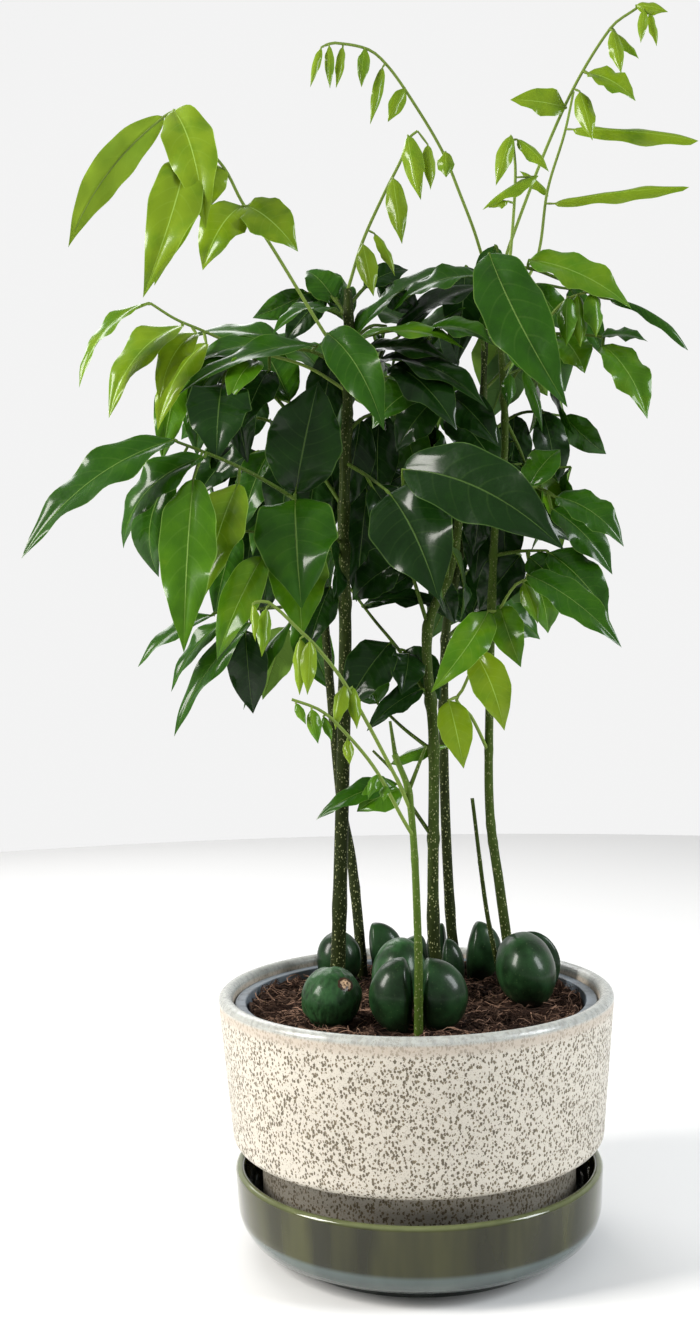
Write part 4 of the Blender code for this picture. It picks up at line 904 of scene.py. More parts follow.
class Finish(NodeMaker):
    """A material whose shader takes what the nodes work out."""

    def __init__(self, name, roughness=0.5, coat=0.0, coat_roughness=0.03, specular=0.5):
        self.material = bpy.data.materials.new(name)
        self.material.use_nodes = True
        super().__init__(self.material.node_tree)
        self.shader = self.nodes["Principled BSDF"]
        self.set(self.shader, {"Roughness": roughness, "Metallic": 0.0, "Coat Weight": coat,
                               "Coat Roughness": coat_roughness, "Specular IOR Level": specular})

    def bump(self, height, distance):
        """Relief of a depth in millimetres."""
        inputs = {"Height": height, "Distance": distance * MM}
        self.set(self.shader, {"Normal": self.add("ShaderNodeBump", None, inputs)})

    def finished(self, **inputs):
        """The material, with the shader's inputs set by their names in small letters."""
        self.set(self.shader, {key.replace("_", " ").title(): value for key, value in inputs.items()})
        return self.material


def pot_finish(settings):
    """Cream glaze full of iron specks, with a smoother grey-green lip, a beige band below it, and painted
    shade on the foot under the skirt.
    """
    finish = Finish("speckled_stoneware", coat=0.2, coat_roughness=0.25)
    place = finish.place()
    height = finish.split(place)[2]
    size = settings.speck_size / MM
    clouds = finish.noise(place, 16)
    dense = 0.27 + clouds * 0.12
    wobbly = finish.stretched(finish.warped(place, size * 0.7, size), (1, 1, 0.7))
    chance = finish.split(finish.cells(wobbly, size, "Color"))[0]
    large = (chance * 0.22 + dense - finish.cells(wobbly, size)).rise(0.0, 0.07)
    fine = finish.cells(finish.warped(place, size, size), size * 0.5)
    small = (dense - fine).rise(0.0, 0.12)
    lip, band = height.between(LIP_GLAZE), height.between(BAND_GLAZE)
    specks = (large.math("MAXIMUM", small * 0.5) * (1 - band * 0.6) + small * lip * 0.5).clamped()
    wall = finish.mix(clouds, settings.pot_colour, [c * 0.86 for c in settings.pot_colour])
    banded = finish.mix(band * 0.7, wall, settings.band_colour)
    worn = finish.noise(finish.stretched(place, (1, 1, 0.4)), 3, 4).rise(0.4, 0.7)
    rim = finish.mix(worn, settings.rim_colour, [c * 0.75 for c in settings.rim_colour])
    # Painted shade on the foot below the skirt, where shade falls
    foot = 1 - height.between(SKIRT_SHADE_HEIGHTS)
    glazed = finish.mix(lip, finish.mix(foot * 0.5, banded, FOOT_PAINTED_SHADE), rim)
    brown = finish.mix(chance, settings.speck_colour, [c * 0.45 for c in settings.speck_colour])
    colour = finish.mix(specks * (0.95 - lip * 0.3), glazed, brown)
    finish.bump(clouds * 0.5 - specks * 0.4, 0.15)
    return finish.finished(base_color=colour, roughness=0.45 - lip * 0.2 + specks * 0.15)


def saucer_finish(settings):
    """Deep olive glaze with painted reflections in vertical streaks, a pale painted highlight on the rim, and
    a blue-grey foot painted with a highlight at its top and shade at its bottom.
    """
    finish = Finish("olive_glaze", coat=0.7, coat_roughness=0.03, specular=0.1)
    place = finish.place()
    height = finish.split(place)[2]
    # Painted reflections: long vertical streaks of lighter and darker glaze stand in for reflections in the
    # gloss
    reflection_streaks = finish.noise(finish.stretched(place, (1, 1, 0.12)), 22, 3).rise(0.35, 0.68)
    drips = finish.noise(finish.stretched(place, (1, 1, 0.3)), 5, 3)
    mottle = finish.noise(place, 3, 2)
    dark = [c * 0.4 for c in settings.saucer_colour]
    body = finish.mix(reflection_streaks, dark, [c * 1.6 for c in settings.saucer_colour])
    # Painted highlight along the top of the rim, broken up by the drips
    edge = height.between(RIM_HIGHLIGHT_HEIGHTS)
    rim_highlighted = finish.mix((edge * (0.55 + drips * 0.6)).clamped(), body, settings.saucer_rim_highlight)
    # Painted light on the foot: a blue-grey painted highlight at the top of the bevel that darkens to painted
    # shade towards the floor
    foot = 1 - height.between(BEVEL_LIGHT_HEIGHTS)
    shade = height.between(SHADED_FOOT)
    blue = finish.mix((shade * 0.8 + reflection_streaks * 0.2).clamped(), SAUCER_FOOT_SHADE, SAUCER_FOOT_HIGHLIGHT)
    colour = finish.mix(foot * 0.75, rim_highlighted, blue)
    finish.bump(mottle + reflection_streaks, 0.04)
    return finish.finished(base_color=colour, roughness=0.1 + mottle * 0.06)


def liner_finish(settings):
    """Grey-blue plastic with a fine grain and some soil dust."""
    finish = Finish("liner_plastic")
    place = finish.place()
    grain = finish.noise(place, 0.5, 2)
    dust = finish.noise(place, 7, 5).rise(0.5, 0.75)
    colour = finish.mix(dust * 0.35, settings.liner_colour, LINER_DUST)
    finish.bump(grain, 0.04)
    return finish.finished(base_color=colour, roughness=0.36 + dust * 0.3)


def soil_finish(settings):
    """Dark fibrous soil, lighter where a piece's tone is high."""
    finish = Finish("potting_soil", specular=0.08)
    place = finish.place()
    tone = finish.attribute("tone")
    patches = finish.noise(place, 6, 5)
    grain = finish.noise(place, 0.9, 4)
    damp = finish.mix(patches.rise(0.3, 0.7), [c * 0.35 for c in settings.soil_colour],
                      [c * 1.5 for c in settings.soil_colour])
    colour = finish.mix((tone + (grain - 0.5) * 0.2).clamped(), damp, settings.dry_colour)
    finish.bump(grain + patches, 0.7)
    return finish.finished(base_color=colour, roughness=0.85 + grain * 0.1)


def bean_finish(name, colour, wrinkles=0.0, scar=None):
    """Satin seed skin, dark near the soil, with the scar of the seed's stalk where one shows."""
    finish = Finish(name, coat=0.3, coat_roughness=0.17, specular=0.08)
    place = finish.place()
    patches = finish.noise(place, 10, 4)
    fine = finish.noise(finish.stretched(place, (1, 1, 0.5)), 1.1, 3)
    flecks = (0.2 - finish.cells(place, 2.2)).rise(0.0, 0.08)
    skin = finish.mix(patches.rise(0.3, 0.75), [c * 0.5 for c in colour], [c * 1.7 for c in colour])
    skin = finish.mix(flecks * 0.15, skin, BEAN_FLECKS)
    # Darker towards the bottom, near the soil
    low_darkening = 1 - (finish.split(place)[2] + (patches - 0.5) * 14 * MM).between(BEAN_DARK_HEIGHTS)
    skin = finish.mix(low_darkening * 0.75, skin, BEAN_BOTTOM_DARK)
    height = patches * 0.6 + fine * 0.3
    rough = 0.3 + fine * 0.12
    if wrinkles:
        folds = finish.noise(finish.stretched(finish.warped(place, 6, 4), (1, 1, 0.4)), 2.6, 2)
        skin = finish.mix(folds.rise(0.35, 0.6) * 0.5, skin, [c * 2.2 for c in colour])
        height = height + folds * wrinkles
        rough = rough + 0.08
    if scar:
        oval = (0.8, 1, 1.25)
        centre = [c * stretch for c, stretch in zip(scar, oval)]
        away = finish.add("ShaderNodeVectorMath", {"operation": "DISTANCE"},
                          {0: finish.stretched(place, oval), 1: centre}, "Value")
        ragged = away + (finish.noise(place, 1.5, 2) - 0.5) * 1.6 * MM
        ring = 1 - ragged.rise(3.9 * MM, 4.4 * MM)
        inner = (1 - ragged.rise(2.6 * MM, 3.1 * MM)) * finish.noise(place, 1.8, 2).rise(0.42, 0.54)
        skin = finish.mix(ring, skin, SCAR_RING)
        skin = finish.mix(inner, skin, SCAR_MIDDLE)
        rough = rough + ring * 0.35
    finish.bump(height, 0.35)
    return finish.finished(base_color=skin, roughness=rough)


def bark_finish(settings):
    """Green to olive bark with fine pale dots, more of them on old bark."""
    finish = Finish("seedling_bark", specular=0.05)
    place = finish.place()
    tone = finish.attribute("tone")
    height = finish.split(place)[2]
    aged = 1 - height.rise(0.12, 0.40)
    foot = 1 - height.rise(0.12, 0.25)
    fresh = (tone - aged * 0.1 - foot * 0.3).clamped()
    long = finish.stretched(place, (1, 1, 0.65))
    chance = finish.split(finish.cells(long, 1.1, "Color"))[0]
    dots = (0.16 + chance * 0.2 - finish.cells(long, 1.1)).rise(0.0, 0.07)
    mottle = finish.noise(finish.stretched(place, (1, 1, 0.3)), 2.5, 4)
    bark = finish.mix(fresh, settings.old_bark, settings.green_bark)
    cracks = mottle.rise(0.35, 0.75) * (1 - fresh) * 0.6
    bark = finish.mix(cracks, bark, [c * 0.45 for c in settings.old_bark])
    young = tone.rise(0.92, 1.0)
    bark = finish.mix(young, bark, settings.young_bark)
    pale = dots * (1 - fresh * 0.7) * (0.5 + aged * 0.4) * (1 - young * 0.9)
    colour = finish.mix(pale.clamped(), bark, BARK_DOTS)
    finish.bump((mottle + dots) * (1 - young * 0.8), 0.25)
    return finish.finished(base_color=colour, roughness=0.5 - tone * 0.12)


def leaf_finish(name, settings, upper):
    """Leaf skin with a fine pale midrib and edge and faint side veins, on the blade's coordinates."""
    finish = Finish(name, coat=0.38 if upper else 0.0, coat_roughness=0.16, specular=0.04)
    across, along, _ = finish.split(finish.add("ShaderNodeUVMap", {"uv_map": "blade"}))
    place = finish.place()
    tone = finish.attribute("tone")
    aside = ((across - 0.5) * 2).math("ABSOLUTE")
    sweep = along * 9 - aside ** 1.2 * 1.6 + across.rise(0.499, 0.501) * 0.5
    between = sweep.math("PINGPONG", 0.5)
    body = 1 - along.rise(0.6, 0.88)
    veins = (1 - between.rise(0.01, 0.09)) * (1 - aside * 0.8) * body
    midrib = 1 - aside.rise(0.006, 0.026)
    margin = aside.rise(0.95, 0.99)
    # The tone picks the colour, which holds painted light and shade as well as the leaf's age
    ages = [settings.dark_leaf, settings.mid_leaf, settings.lit_leaf, settings.lime_leaf]
    stops = list(zip((DARK, MID, LIT, LIME), ages))
    clouds = finish.noise(place, 14, 3)
    chance = finish.attribute("chance") - 0.5
    toned = (tone + ((clouds - 0.5) * 1.0 + chance * 0.25) * (tone * 0.5 + 0.25)).clamped()
    flesh = finish.add("ShaderNodeValToRGB", {"stops": stops}, {0: toned}, "Color")
    pale = finish.mix(tone, *VEIN_COLOURS)
    skin = finish.mix(veins * 0.07 + midrib * 0.5 + margin * 0.4, flesh, pale)
    grain = finish.noise(place, 0.7, 2)
    if upper:
        puckers = finish.noise(place, 7, 2)
        height = (between * 0.8 - midrib * 0.8) * body + clouds * 1.4 + puckers * 1.3 + grain * 0.1
        rough = 0.34 + grain * 0.12 + clouds * 0.08
    else:
        # The underside; on young leaves it is lightened as painted light shining through
        skin = finish.mix(0.45, skin, finish.mix(tone, *UNDER_COLOURS))
        height = midrib + veins * 0.5 + grain * 0.2
        rough = 0.5 + grain * 0.1
    finish.bump(height * (1 - tone * 0.92), 0.5)
    return finish.finished(base_color=skin, roughness=rough)


def stage_finish(colour):
    """A plain matt floor."""
    finish = Finish("floor_paper", roughness=0.8)
    shade = finish.mix(finish.noise(finish.place(), 400, 1), colour, [c * 0.985 for c in colour])
    return finish.finished(base_color=shade)


def new_piece(name, mesh, materials, node=None):
    """A finished piece that rides on the frame, standing for a node and taking a slot's finish."""
    piece = bpy.data.objects.new(name, mesh)
    bpy.context.scene.collection.objects.link(piece)
    for material in materials:
        mesh.materials.append(material)
    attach(piece, "root")
    if node:
        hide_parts(node)
    return piece


def mesh_from(bm, name, smooth_angle=50):
    """The mesh of bm, smooth but for edges above an angle, or where bm marks them if there is none."""
    mesh = bpy.data.meshes.new(name)
    bm.to_mesh(mesh)
    bm.free()
    mesh.shade_smooth()
    if smooth_angle:
        mesh.set_sharp_from_angle(angle=math.radians(smooth_angle))
    return mesh


def turned(outline):
    """A body of revolution from an outline of (radius, height) that starts and ends on the axis."""
    bm = bmesh.new()
    profile = [bm.verts.new((radius * MM, 0, height * MM)) for radius, height in outline]
    edges = [bm.edges.new(pair) for pair in zip(profile, profile[1:])]
    bmesh.ops.spin(bm, geom=profile + edges, axis=(0, 0, 1), cent=(0, 0, 0),
                   angle=math.tau, steps=TURN_STEPS, use_merge=True)
    bmesh.ops.remove_doubles(bm, verts=bm.verts, dist=1e-6)
    bmesh.ops.recalc_face_normals(bm, faces=bm.faces)
    return bm


def arc(centre, radius, start, end, steps):
    """Points of an arc in the outline's plane, with angles in degrees from the outward direction."""
    points = []
    for step in range(steps + 1):
        angle = math.radians(start + (end - start) * step / steps)
        points.append((centre[0] + radius * math.cos(angle), centre[1] + radius * math.sin(angle)))
    return points


def turned_piece(name, outline, finish, node, smooth_angle=50):
    """A turned piece with a finish of its own, standing for a node."""
    material = finish(bpy.context.scene.bean_pottery)
    new_piece(name, mesh_from(turned(outline), name, smooth_angle), [material], node)


def build_saucer():
    """The saucer: a flat foot, a bevel below and an upright wall with a round lip."""
    lip = SAUCER_WALL / 2
    inner = SAUCER_RADIUS - SAUCER_WALL
    outline = [
        (0, 0),
        (SAUCER_FOOT_RADIUS - 0.6, 0),
        (SAUCER_FOOT_RADIUS, 0.6),
        (SAUCER_FOOT_RADIUS + 3, SAUCER_BEVEL_FOOT - 4),
        (SAUCER_RADIUS - 8, SAUCER_BEVEL_FOOT - 0.8),
        (SAUCER_RADIUS - 5.4, SAUCER_BEVEL_FOOT + 1),
        (SAUCER_RADIUS - 2.4, SAUCER_BEVEL_TOP - 5),
        (SAUCER_RADIUS - 1.3, SAUCER_BEVEL_TOP - 1.4),
        (SAUCER_RADIUS - 0.9, SAUCER_BEVEL_TOP + 1.5),
        *arc((SAUCER_RADIUS - lip, SAUCER_TOP - lip), lip, 0, 180, 12),
        (inner - 3, SAUCER_FLOOR + 6),
        *arc((inner - 9, SAUCER_FLOOR + 6), 6, 0, -90, 6),
        (0, SAUCER_FLOOR),
    ]
    turned_piece("saucer_glazed", outline, saucer_finish, "saucer", 35)


def build_pot():
    """The pot: a foot inside a wider skirt, and a thick round lip."""
    base = SAUCER_FLOOR + REST_GAP
    lip = POT_WALL / 2
    corner = 6
    outline = [
        (0, base),
        (POT_FOOT_RADIUS - 2, base),
        (POT_FOOT_RADIUS, base + 2),
        (POT_FOOT_RADIUS, POT_SKIRT_FOOT - 2),
        (POT_FOOT_RADIUS + 2, POT_SKIRT_FOOT),
        *arc((POT_SKIRT_RADIUS - corner, POT_SKIRT_FOOT + corner), corner, -90, -4, 8),
        *arc((POT_RADIUS - lip, POT_TOP - lip), lip, -4, 180, 16),
        (POT_SKIRT_RADIUS - POT_WALL - 6, POT_SKIRT_FOOT + 6),
        (POT_FOOT_RADIUS - POT_WALL, base + POT_FLOOR),
        (0, base + POT_FLOOR),
    ]
    turned_piece("pot_speckled", outline, pot_finish, "pot")


def liner_floor():
    """Height of the underside of the liner, which stands on the pot's floor."""
    return SAUCER_FLOOR + REST_GAP + POT_FLOOR + REST_GAP


def build_liner():
    """The liner: a thin flaring wall with a flat lip that shows above the soil."""
    base = liner_floor()
    inner = LINER_RADIUS - LINER_LIP
    lip_foot = LINER_TOP - 3
    outline = [
        (0, base),
        (LINER_BASE_RADIUS, base),
        (inner + LINER_WALL - 0.6, lip_foot - 2),
        (LINER_RADIUS, lip_foot),
        *arc((LINER_RADIUS - 0.8, LINER_TOP - 0.8), 0.8, 0, 90, 4),
        *arc((inner + 0.8, LINER_TOP - 0.8), 0.8, 90, 180, 4),
        (inner - 0.6, lip_foot - 2),
        (LINER_BASE_RADIUS - LINER_WALL, base + LINER_WALL),
        (0, base + LINER_WALL),
    ]
    turned_piece("liner_rim", outline, liner_finish, "liner", 40)


def soil_height(radius):
    """Height of the solid soil's gentle crown, which the loose soil follows."""
    edge = LINER_RADIUS - LINER_LIP - 1
    return SOIL_EDGE + SOIL_CROWN * (1 - (radius / edge) ** 2)


def lumps(x, y):
    """The unevenness of loose soil at a place in millimetres, between -1 and 1."""
    coarse = noise.fractal(Vector((x / LUMP_SIZE, y / LUMP_SIZE, 3)), 0.8, 2.1, 4)
    return max(-1.0, min(1.0, coarse * 1.4))


def soil_level(x, y, settings):
    """Height of the loose soil at a place: its lumps, and the bank against the nursery pot's wall."""
    radius = math.hypot(x, y)
    bank = max(0.0, 1 - (SOIL_REACH - radius) / BANK_WIDTH)
    uneven = 0.75 + 0.5 * noise.noise(Vector((x / PATCH_SIZE, y / PATCH_SIZE, 8)))
    loose = settings.roughness * lumps(x, y) + settings.bank * uneven * bank ** 1.5
    return soil_height(radius) + loose / MM


def bean_reach(bean, x, y):
    """How far a place is from a bean's middle, where 1 is the bean's own outline from above."""
    return math.hypot((x - bean.centre[0]) / bean.half_size[0], (y - bean.centre[1]) / bean.half_size[1])


def soil_body(settings):
    """The soil as one closed body, with lumps on top and a dimple under each bean."""
    base = liner_floor() + LINER_WALL + REST_GAP
    radii = [SOIL_REACH * ring / SOIL_RINGS for ring in range(SOIL_RINGS, 0, -1)]
    outline = [
        (0, base),
        (LINER_BASE_RADIUS - LINER_WALL - 0.4, base),
        *((radius, soil_height(radius)) for radius in radii),
        (0, soil_height(0)),
    ]
    bm = turned(outline)
    tone = bm.verts.layers.float.new("tone")
    for vert in bm.verts:
        x, y, z = (c / MM for c in vert.co)
        if z < SOIL_EDGE - 1:
            continue
        vert.co.z = soil_level(x, y, settings) * MM
        vert[tone] = max(0, 0.02 + 0.12 * lumps(x, y))
        for bean in BEANS.values():
            off = bean_reach(bean, x, y)
            if off < 1:
                under = bean.centre[2] - bean.half_size[2] * math.sqrt(1 - off ** 2) - REST_GAP
                vert.co.z = min(vert.co.z, under * MM)
    return bm


def loose_spot(rng, edge):
    """A random free place on the soil, in millimetres."""
    while True:
        radius, angle = edge * math.sqrt(rng.random()), rng.uniform(0, math.tau)
        x, y = radius * math.cos(angle), radius * math.sin(angle)
        if min(bean_reach(bean, x, y) for bean in BEANS.values()) > 0.9:
            return x, y


def add_crumbs(bm, tone, rng, settings):
    """Small flat crumbs, most of them dark, strewn over the soil."""
    for _ in range(settings.crumb_count):
        size = rng.triangular(*CRUMB_SIZES)
        x, y = loose_spot(rng, SOIL_REACH - size * 1.5)
        heading, tilt = rng.uniform(0, math.tau), rng.uniform(-0.7, 0.7)
        turn = Matrix.Rotation(heading, 4, "Z") @ Matrix.Rotation(tilt, 4, "X")
        stretch, height = rng.uniform(*CRUMB_STRETCH), rng.uniform(*CRUMB_HEIGHTS)
        shape = Matrix.Diagonal((size * stretch, size, size * height, 1))
        place = Matrix.Translation((x, y, soil_level(x, y, settings) + size * 0.2))
        made = bmesh.ops.create_icosphere(bm, subdivisions=1, radius=1,
                                          matrix=Matrix.Scale(MM, 4) @ place @ turn @ shape)["verts"]
        shade = rng.random() ** 4 * 0.35
        for vert in made:
            vert.co += noise.noise_vector(vert.co * 900) * size * CRUMB_ROUGHNESS * MM
            vert[tone] = shade


def rod_mesh(lines, sides):
    """Closed round rods through lists of (point, radius), as one mesh."""
    curve = bpy.data.curves.new("rod", "CURVE")
    curve.dimensions = "3D"
    curve.bevel_depth = MM
    curve.bevel_resolution = (sides - 4) // 2
    curve.use_fill_caps = True
    for line in lines:
        spline = curve.splines.new("POLY")
        spline.points.add(len(line) - 1)
        for point, (place, radius) in zip(spline.points, line):
            point.co = (*place, 1)
            point.radius = radius
    rod = bpy.data.objects.new("rod", curve)
    mesh = bpy.data.meshes.new_from_object(rod)
    bpy.data.objects.remove(rod)
    bpy.data.curves.remove(curve)
    return mesh


def add_mesh(bm, mesh, *values):
    """The mesh added to bm, with its vertices given a value in each layer: (layer, value) pairs."""
    known = len(bm.verts)
    bm.from_mesh(mesh)
    bpy.data.meshes.remove(mesh)
    bm.verts.ensure_lookup_table()
    for vert in bm.verts[known:]:
        for layer, value in values:
            vert[layer] = value


def fibre_line(rng, settings):
    """A loose fibre on the soil, of which one end may stand free."""
    edge = SOIL_REACH - 1
    x, y = loose_spot(rng, edge)
    heading, length = rng.uniform(0, math.tau), rng.triangular(*FIBRE_LENGTHS)
    curl = rng.uniform(-FIBRE_CURL, FIBRE_CURL)
    arch, reach = rng.triangular(*FIBRE_ARCHES), rng.uniform(1.6, math.pi)
    radius = rng.triangular(*FIBRE_RADII)
    line = []
    for step in range(FIBRE_STEPS + 1):
        part = step / FIBRE_STEPS
        z = soil_level(x, y, settings) + radius + arch * math.sin(part * reach)
        line.append((Vector((x, y, z)) * MM, radius * math.sin(math.pi * (0.15 + 0.75 * part))))
        x += math.cos(heading) * length / FIBRE_STEPS
        y += math.sin(heading) * length / FIBRE_STEPS
        heading += curl / FIBRE_STEPS
        away = math.hypot(x, y)
        if away > edge:
            x, y = x * edge / away, y * edge / away
    return line


def build_soil():
    """The soil's body, and its crumbs and fibres as pieces of their own."""
    settings = bpy.context.scene.bean_soil
    rng = random.Random(11)
    material = soil_finish(settings)
    new_piece("soil_surface", mesh_from(soil_body(settings), "soil_surface", 180), [material], "soil")
    bm = bmesh.new()
    tone = bm.verts.layers.float.new("tone")
    add_crumbs(bm, tone, rng, settings)
    new_piece("soil_crumbs", mesh_from(bm, "soil_crumbs", 40), [material])
    bm = bmesh.new()
    tone = bm.verts.layers.float.new("tone")
    for shade in FIBRE_TONES:
        lines = [fibre_line(rng, settings) for _ in range(settings.fibre_count // len(FIBRE_TONES))]
        add_mesh(bm, rod_mesh(lines, FIBRE_SIDES), (tone, shade))
    new_piece("soil_fibres", mesh_from(bm, "soil_fibres"), [material])


def bean_mesh(name, bean, wrinkles):
    """Half a seed: a ball whose flat side is pressed in, sized to its box, then leaned."""
    bm = bmesh.new()
    bmesh.ops.create_uvsphere(bm, u_segments=BEAN_SEGMENTS[0], v_segments=BEAN_SEGMENTS[1], radius=1)
    facing = Matrix.Rotation(math.radians(bean.flat_side), 3, "Z") @ Vector((1, 0, 0))
    for vert in bm.verts:
        around = vert.co.copy()
        ahead = vert.co.dot(facing)
        pressed = ahead * BEAN_FLATNESS if ahead > 0 else ahead
        centred = (2 * pressed + 1 - BEAN_FLATNESS) / (1 + BEAN_FLATNESS)
        vert.co += facing * (centred - ahead)
        dents = noise.fractal(around * 1.3 + Vector(bean.centre), 1, 2, 2) * BEAN_DENTS
        folds = noise.noise(Vector((around.x * 3.2, around.y * 3.2, around.z * 1.1)) + Vector(bean.centre))
        vert.co *= 1 + dents - abs(folds) * wrinkles
    size = Vector(bean.half_size)
    place = Matrix.Translation(Vector(bean.centre) * MM)
    lean = Matrix.Rotation(math.radians(bean.lean), 4, "Y")
    bmesh.ops.transform(bm, matrix=place @ lean @ Matrix.Diagonal((*(size * MM), 1)), verts=bm.verts)
    return mesh_from(bm, name, 180)


def build_beans():
    """All halves, the wrinkled one with its scar in a finish of its own."""
    colour = bpy.context.scene.bean_plants.bean_colour
    smooth = bean_finish("bean_skin", colour)
    light = bean_finish("light_bean_skin", [c * 1.9 for c in colour])
    scarred = bean_finish("wrinkled_bean_skin", [c * 1.6 for c in colour], 2.2, SCAR_PLACE)
    for name, bean in BEANS.items():
        wrinkled = name == "bean_front_left"
        material = scarred if wrinkled else light if name == "bean_centre_left" else smooth
        mesh = bean_mesh(name + "_skin", bean, BEAN_WRINKLES if wrinkled else 0.0)
        new_piece(name + "_skin", mesh, [material], name)


def spot(x, z, depth):
    """The place in metres of a spot on the plant."""
    reach = 1 - depth / EYE.y
    return Vector((x * reach, depth, EYE.z + (z - EYE.z) * reach)) * MM


def outline_width(along, strap):
    """Half width of a blunt strap or of an oval with a drawn-out tip, as a part of the greatest."""
    skew, fullness = STRAP_SHAPE if strap else OVAL_SHAPE
    width = math.sin(math.pi * along ** skew) ** fullness
    return width if strap else width * (1 - TIP_TAPER * along ** TIP_SHARPNESS)


def smooth_line(points, step=4):
    """Places about every step millimetres on a smooth curve through points, with how far along each is."""
    ends = [points[0] * 2 - points[1], *points, points[-1] * 2 - points[-2]]
    line = []
    last = len(points) - 1
    for index, (before, start, end, after) in enumerate(zip(ends, ends[1:], ends[2:], ends[3:])):
        reach = (end - start).length / 3
        leaving = start + (end - before).normalized() * reach
        arriving = end - (after - start).normalized() * reach
        count = max(2, round(reach * 3 / (step * MM)))
        places = interpolate_bezier(start, leaving, arriving, end, count + 1)[:-1]
        line += [(place, (index + number / count) / last) for number, place in enumerate(places)]
    return [*line, (points[-1], 1.0)]


def nearest_on(points, place):
    """The nearest point to place on the line through points, and how far along the line it lies."""
    best = None
    for index, (start, end) in enumerate(zip(points, points[1:])):
        run = end - start
        part = max(0, min(1, (place - start).dot(run) / run.length_squared))
        found = start + run * part
        distance = (place - found).length
        if best is None or distance < best[0]:
            best = (distance, found, (index + part) / (len(points) - 1))
    return best[1:]


def stem_line(seedling):
    """The places that a stem passes, from its foot in the soil."""
    x, y = seedling.root
    ground = soil_height(math.hypot(x, y))
    foot = Vector((x, y, ground - ROOT_DEPTH)) * MM
    collar = Vector((x, y, ground)) * MM
    return [foot, collar, *(spot(*place) for place in seedling.stem)]


def fronds_of(name):
    """The fronds of a seedling or a shoot, with those of the inner crown."""
    if name in SHOOTS:
        return SHOOTS[name].fronds
    return SEEDLINGS[name].fronds + INNER_FRONDS.get(name, [])


def rachis_lines(name):
    """The smooth line of each rachis, which starts inside the stem that carries it."""
    carrier = SEEDLINGS[SHOOTS[name].carrier if name in SHOOTS else name]
    stem = [place for place, _ in smooth_line(stem_line(carrier))]
    lines = []
    for frond in fronds_of(name):
        points = [spot(*place) for place in frond.rachis]
        lines.append(smooth_line([nearest_on(stem, points[0])[0], *points[1:]]))
    return lines


class Blade:
    """A leaf's midrib and stalk, with the directions across it that its surface is built on."""

    def __init__(self, leaf, rachis, rng):
        self.leaf = leaf
        self.young = leaf.width <= YOUNG_WIDTH
        self.stalk = YOUNG_STALK_RADIUS if self.young else STALK_RADIUS
        self.fold = math.radians(YOUNG_FOLD if self.young else MATURE_FOLD)
        self.base = spot(*leaf.base)
        self.run = spot(*leaf.tip) - self.base
        self.length = self.run.length
        self.strap = leaf.width * MM < self.length * STRAP_RATIO
        axis = self.run.normalized()
        front = (Vector((0, -1, 0)) + axis * axis.y).normalized()
        up = front.cross(axis)
        if up.z + 0.3 * up.x < 0:
            up = -up
        turn = math.radians(leaf.turn)
        self.normal = front * math.cos(turn) + up * math.sin(turn)
        across = self.normal.cross(axis)
        # midrib() gives a quarter of the rise at the middle
        self.rise = (self.normal * leaf.bow + across * leaf.bend) * self.length * 4
        self.joint = nearest_on(rachis, self.base)[0]
        self.phase = rng.uniform(0, math.tau)
        self.waves = rng.uniform(*EDGE_WAVES)
        self.chance = rng.random()

    def directions(self, along):
        """The directions across the blade and off its face, at a place along the midrib."""
        tangent = (self.run + self.rise * (1 - 2 * along)).normalized()
        side = self.normal.cross(tangent).normalized()
        return side, tangent.cross(side)

    def midrib(self, along):
        """The point of the midrib at a part of its length."""
        return self.base + self.run * along + self.rise * along * (1 - along)

    def point(self, across, along, face, thickness, ripple):
        """A point of the upper sheet, where face is 1, or of the lower one, where it is -1."""
        aside = abs(across)
        side, normal = self.directions(along)
        reach = self.leaf.width / 2 * outline_width(along, self.strap) * MM
        phase = self.phase + (SIDE_SHIFT if across < 0 else 0)
        uneven = 1 + WIDTH_UNEVENNESS * math.sin(self.waves * WIDTH_WAVES * along + phase)
        wave = BLADE_WAVE * math.sin(math.tau * BLADE_WAVES * along + across) * aside
        edge = ripple * aside ** EDGE_FALL * math.sin(math.tau * self.waves * along + phase)
        belly = BELLY * math.sin(math.pi * aside)
        lift = reach * (math.sin(self.fold) * aside ** FOLD_CURVE + wave + edge + belly)
        # Both sheets meet at the edge, and they draw together over the last sixth
        thick = thickness / 2 * (1 - aside ** 3) * min(1, 6 - 6 * along)
        return (self.midrib(along) + side * across * reach * uneven * math.cos(self.fold)
                + normal * (lift + face * thick))


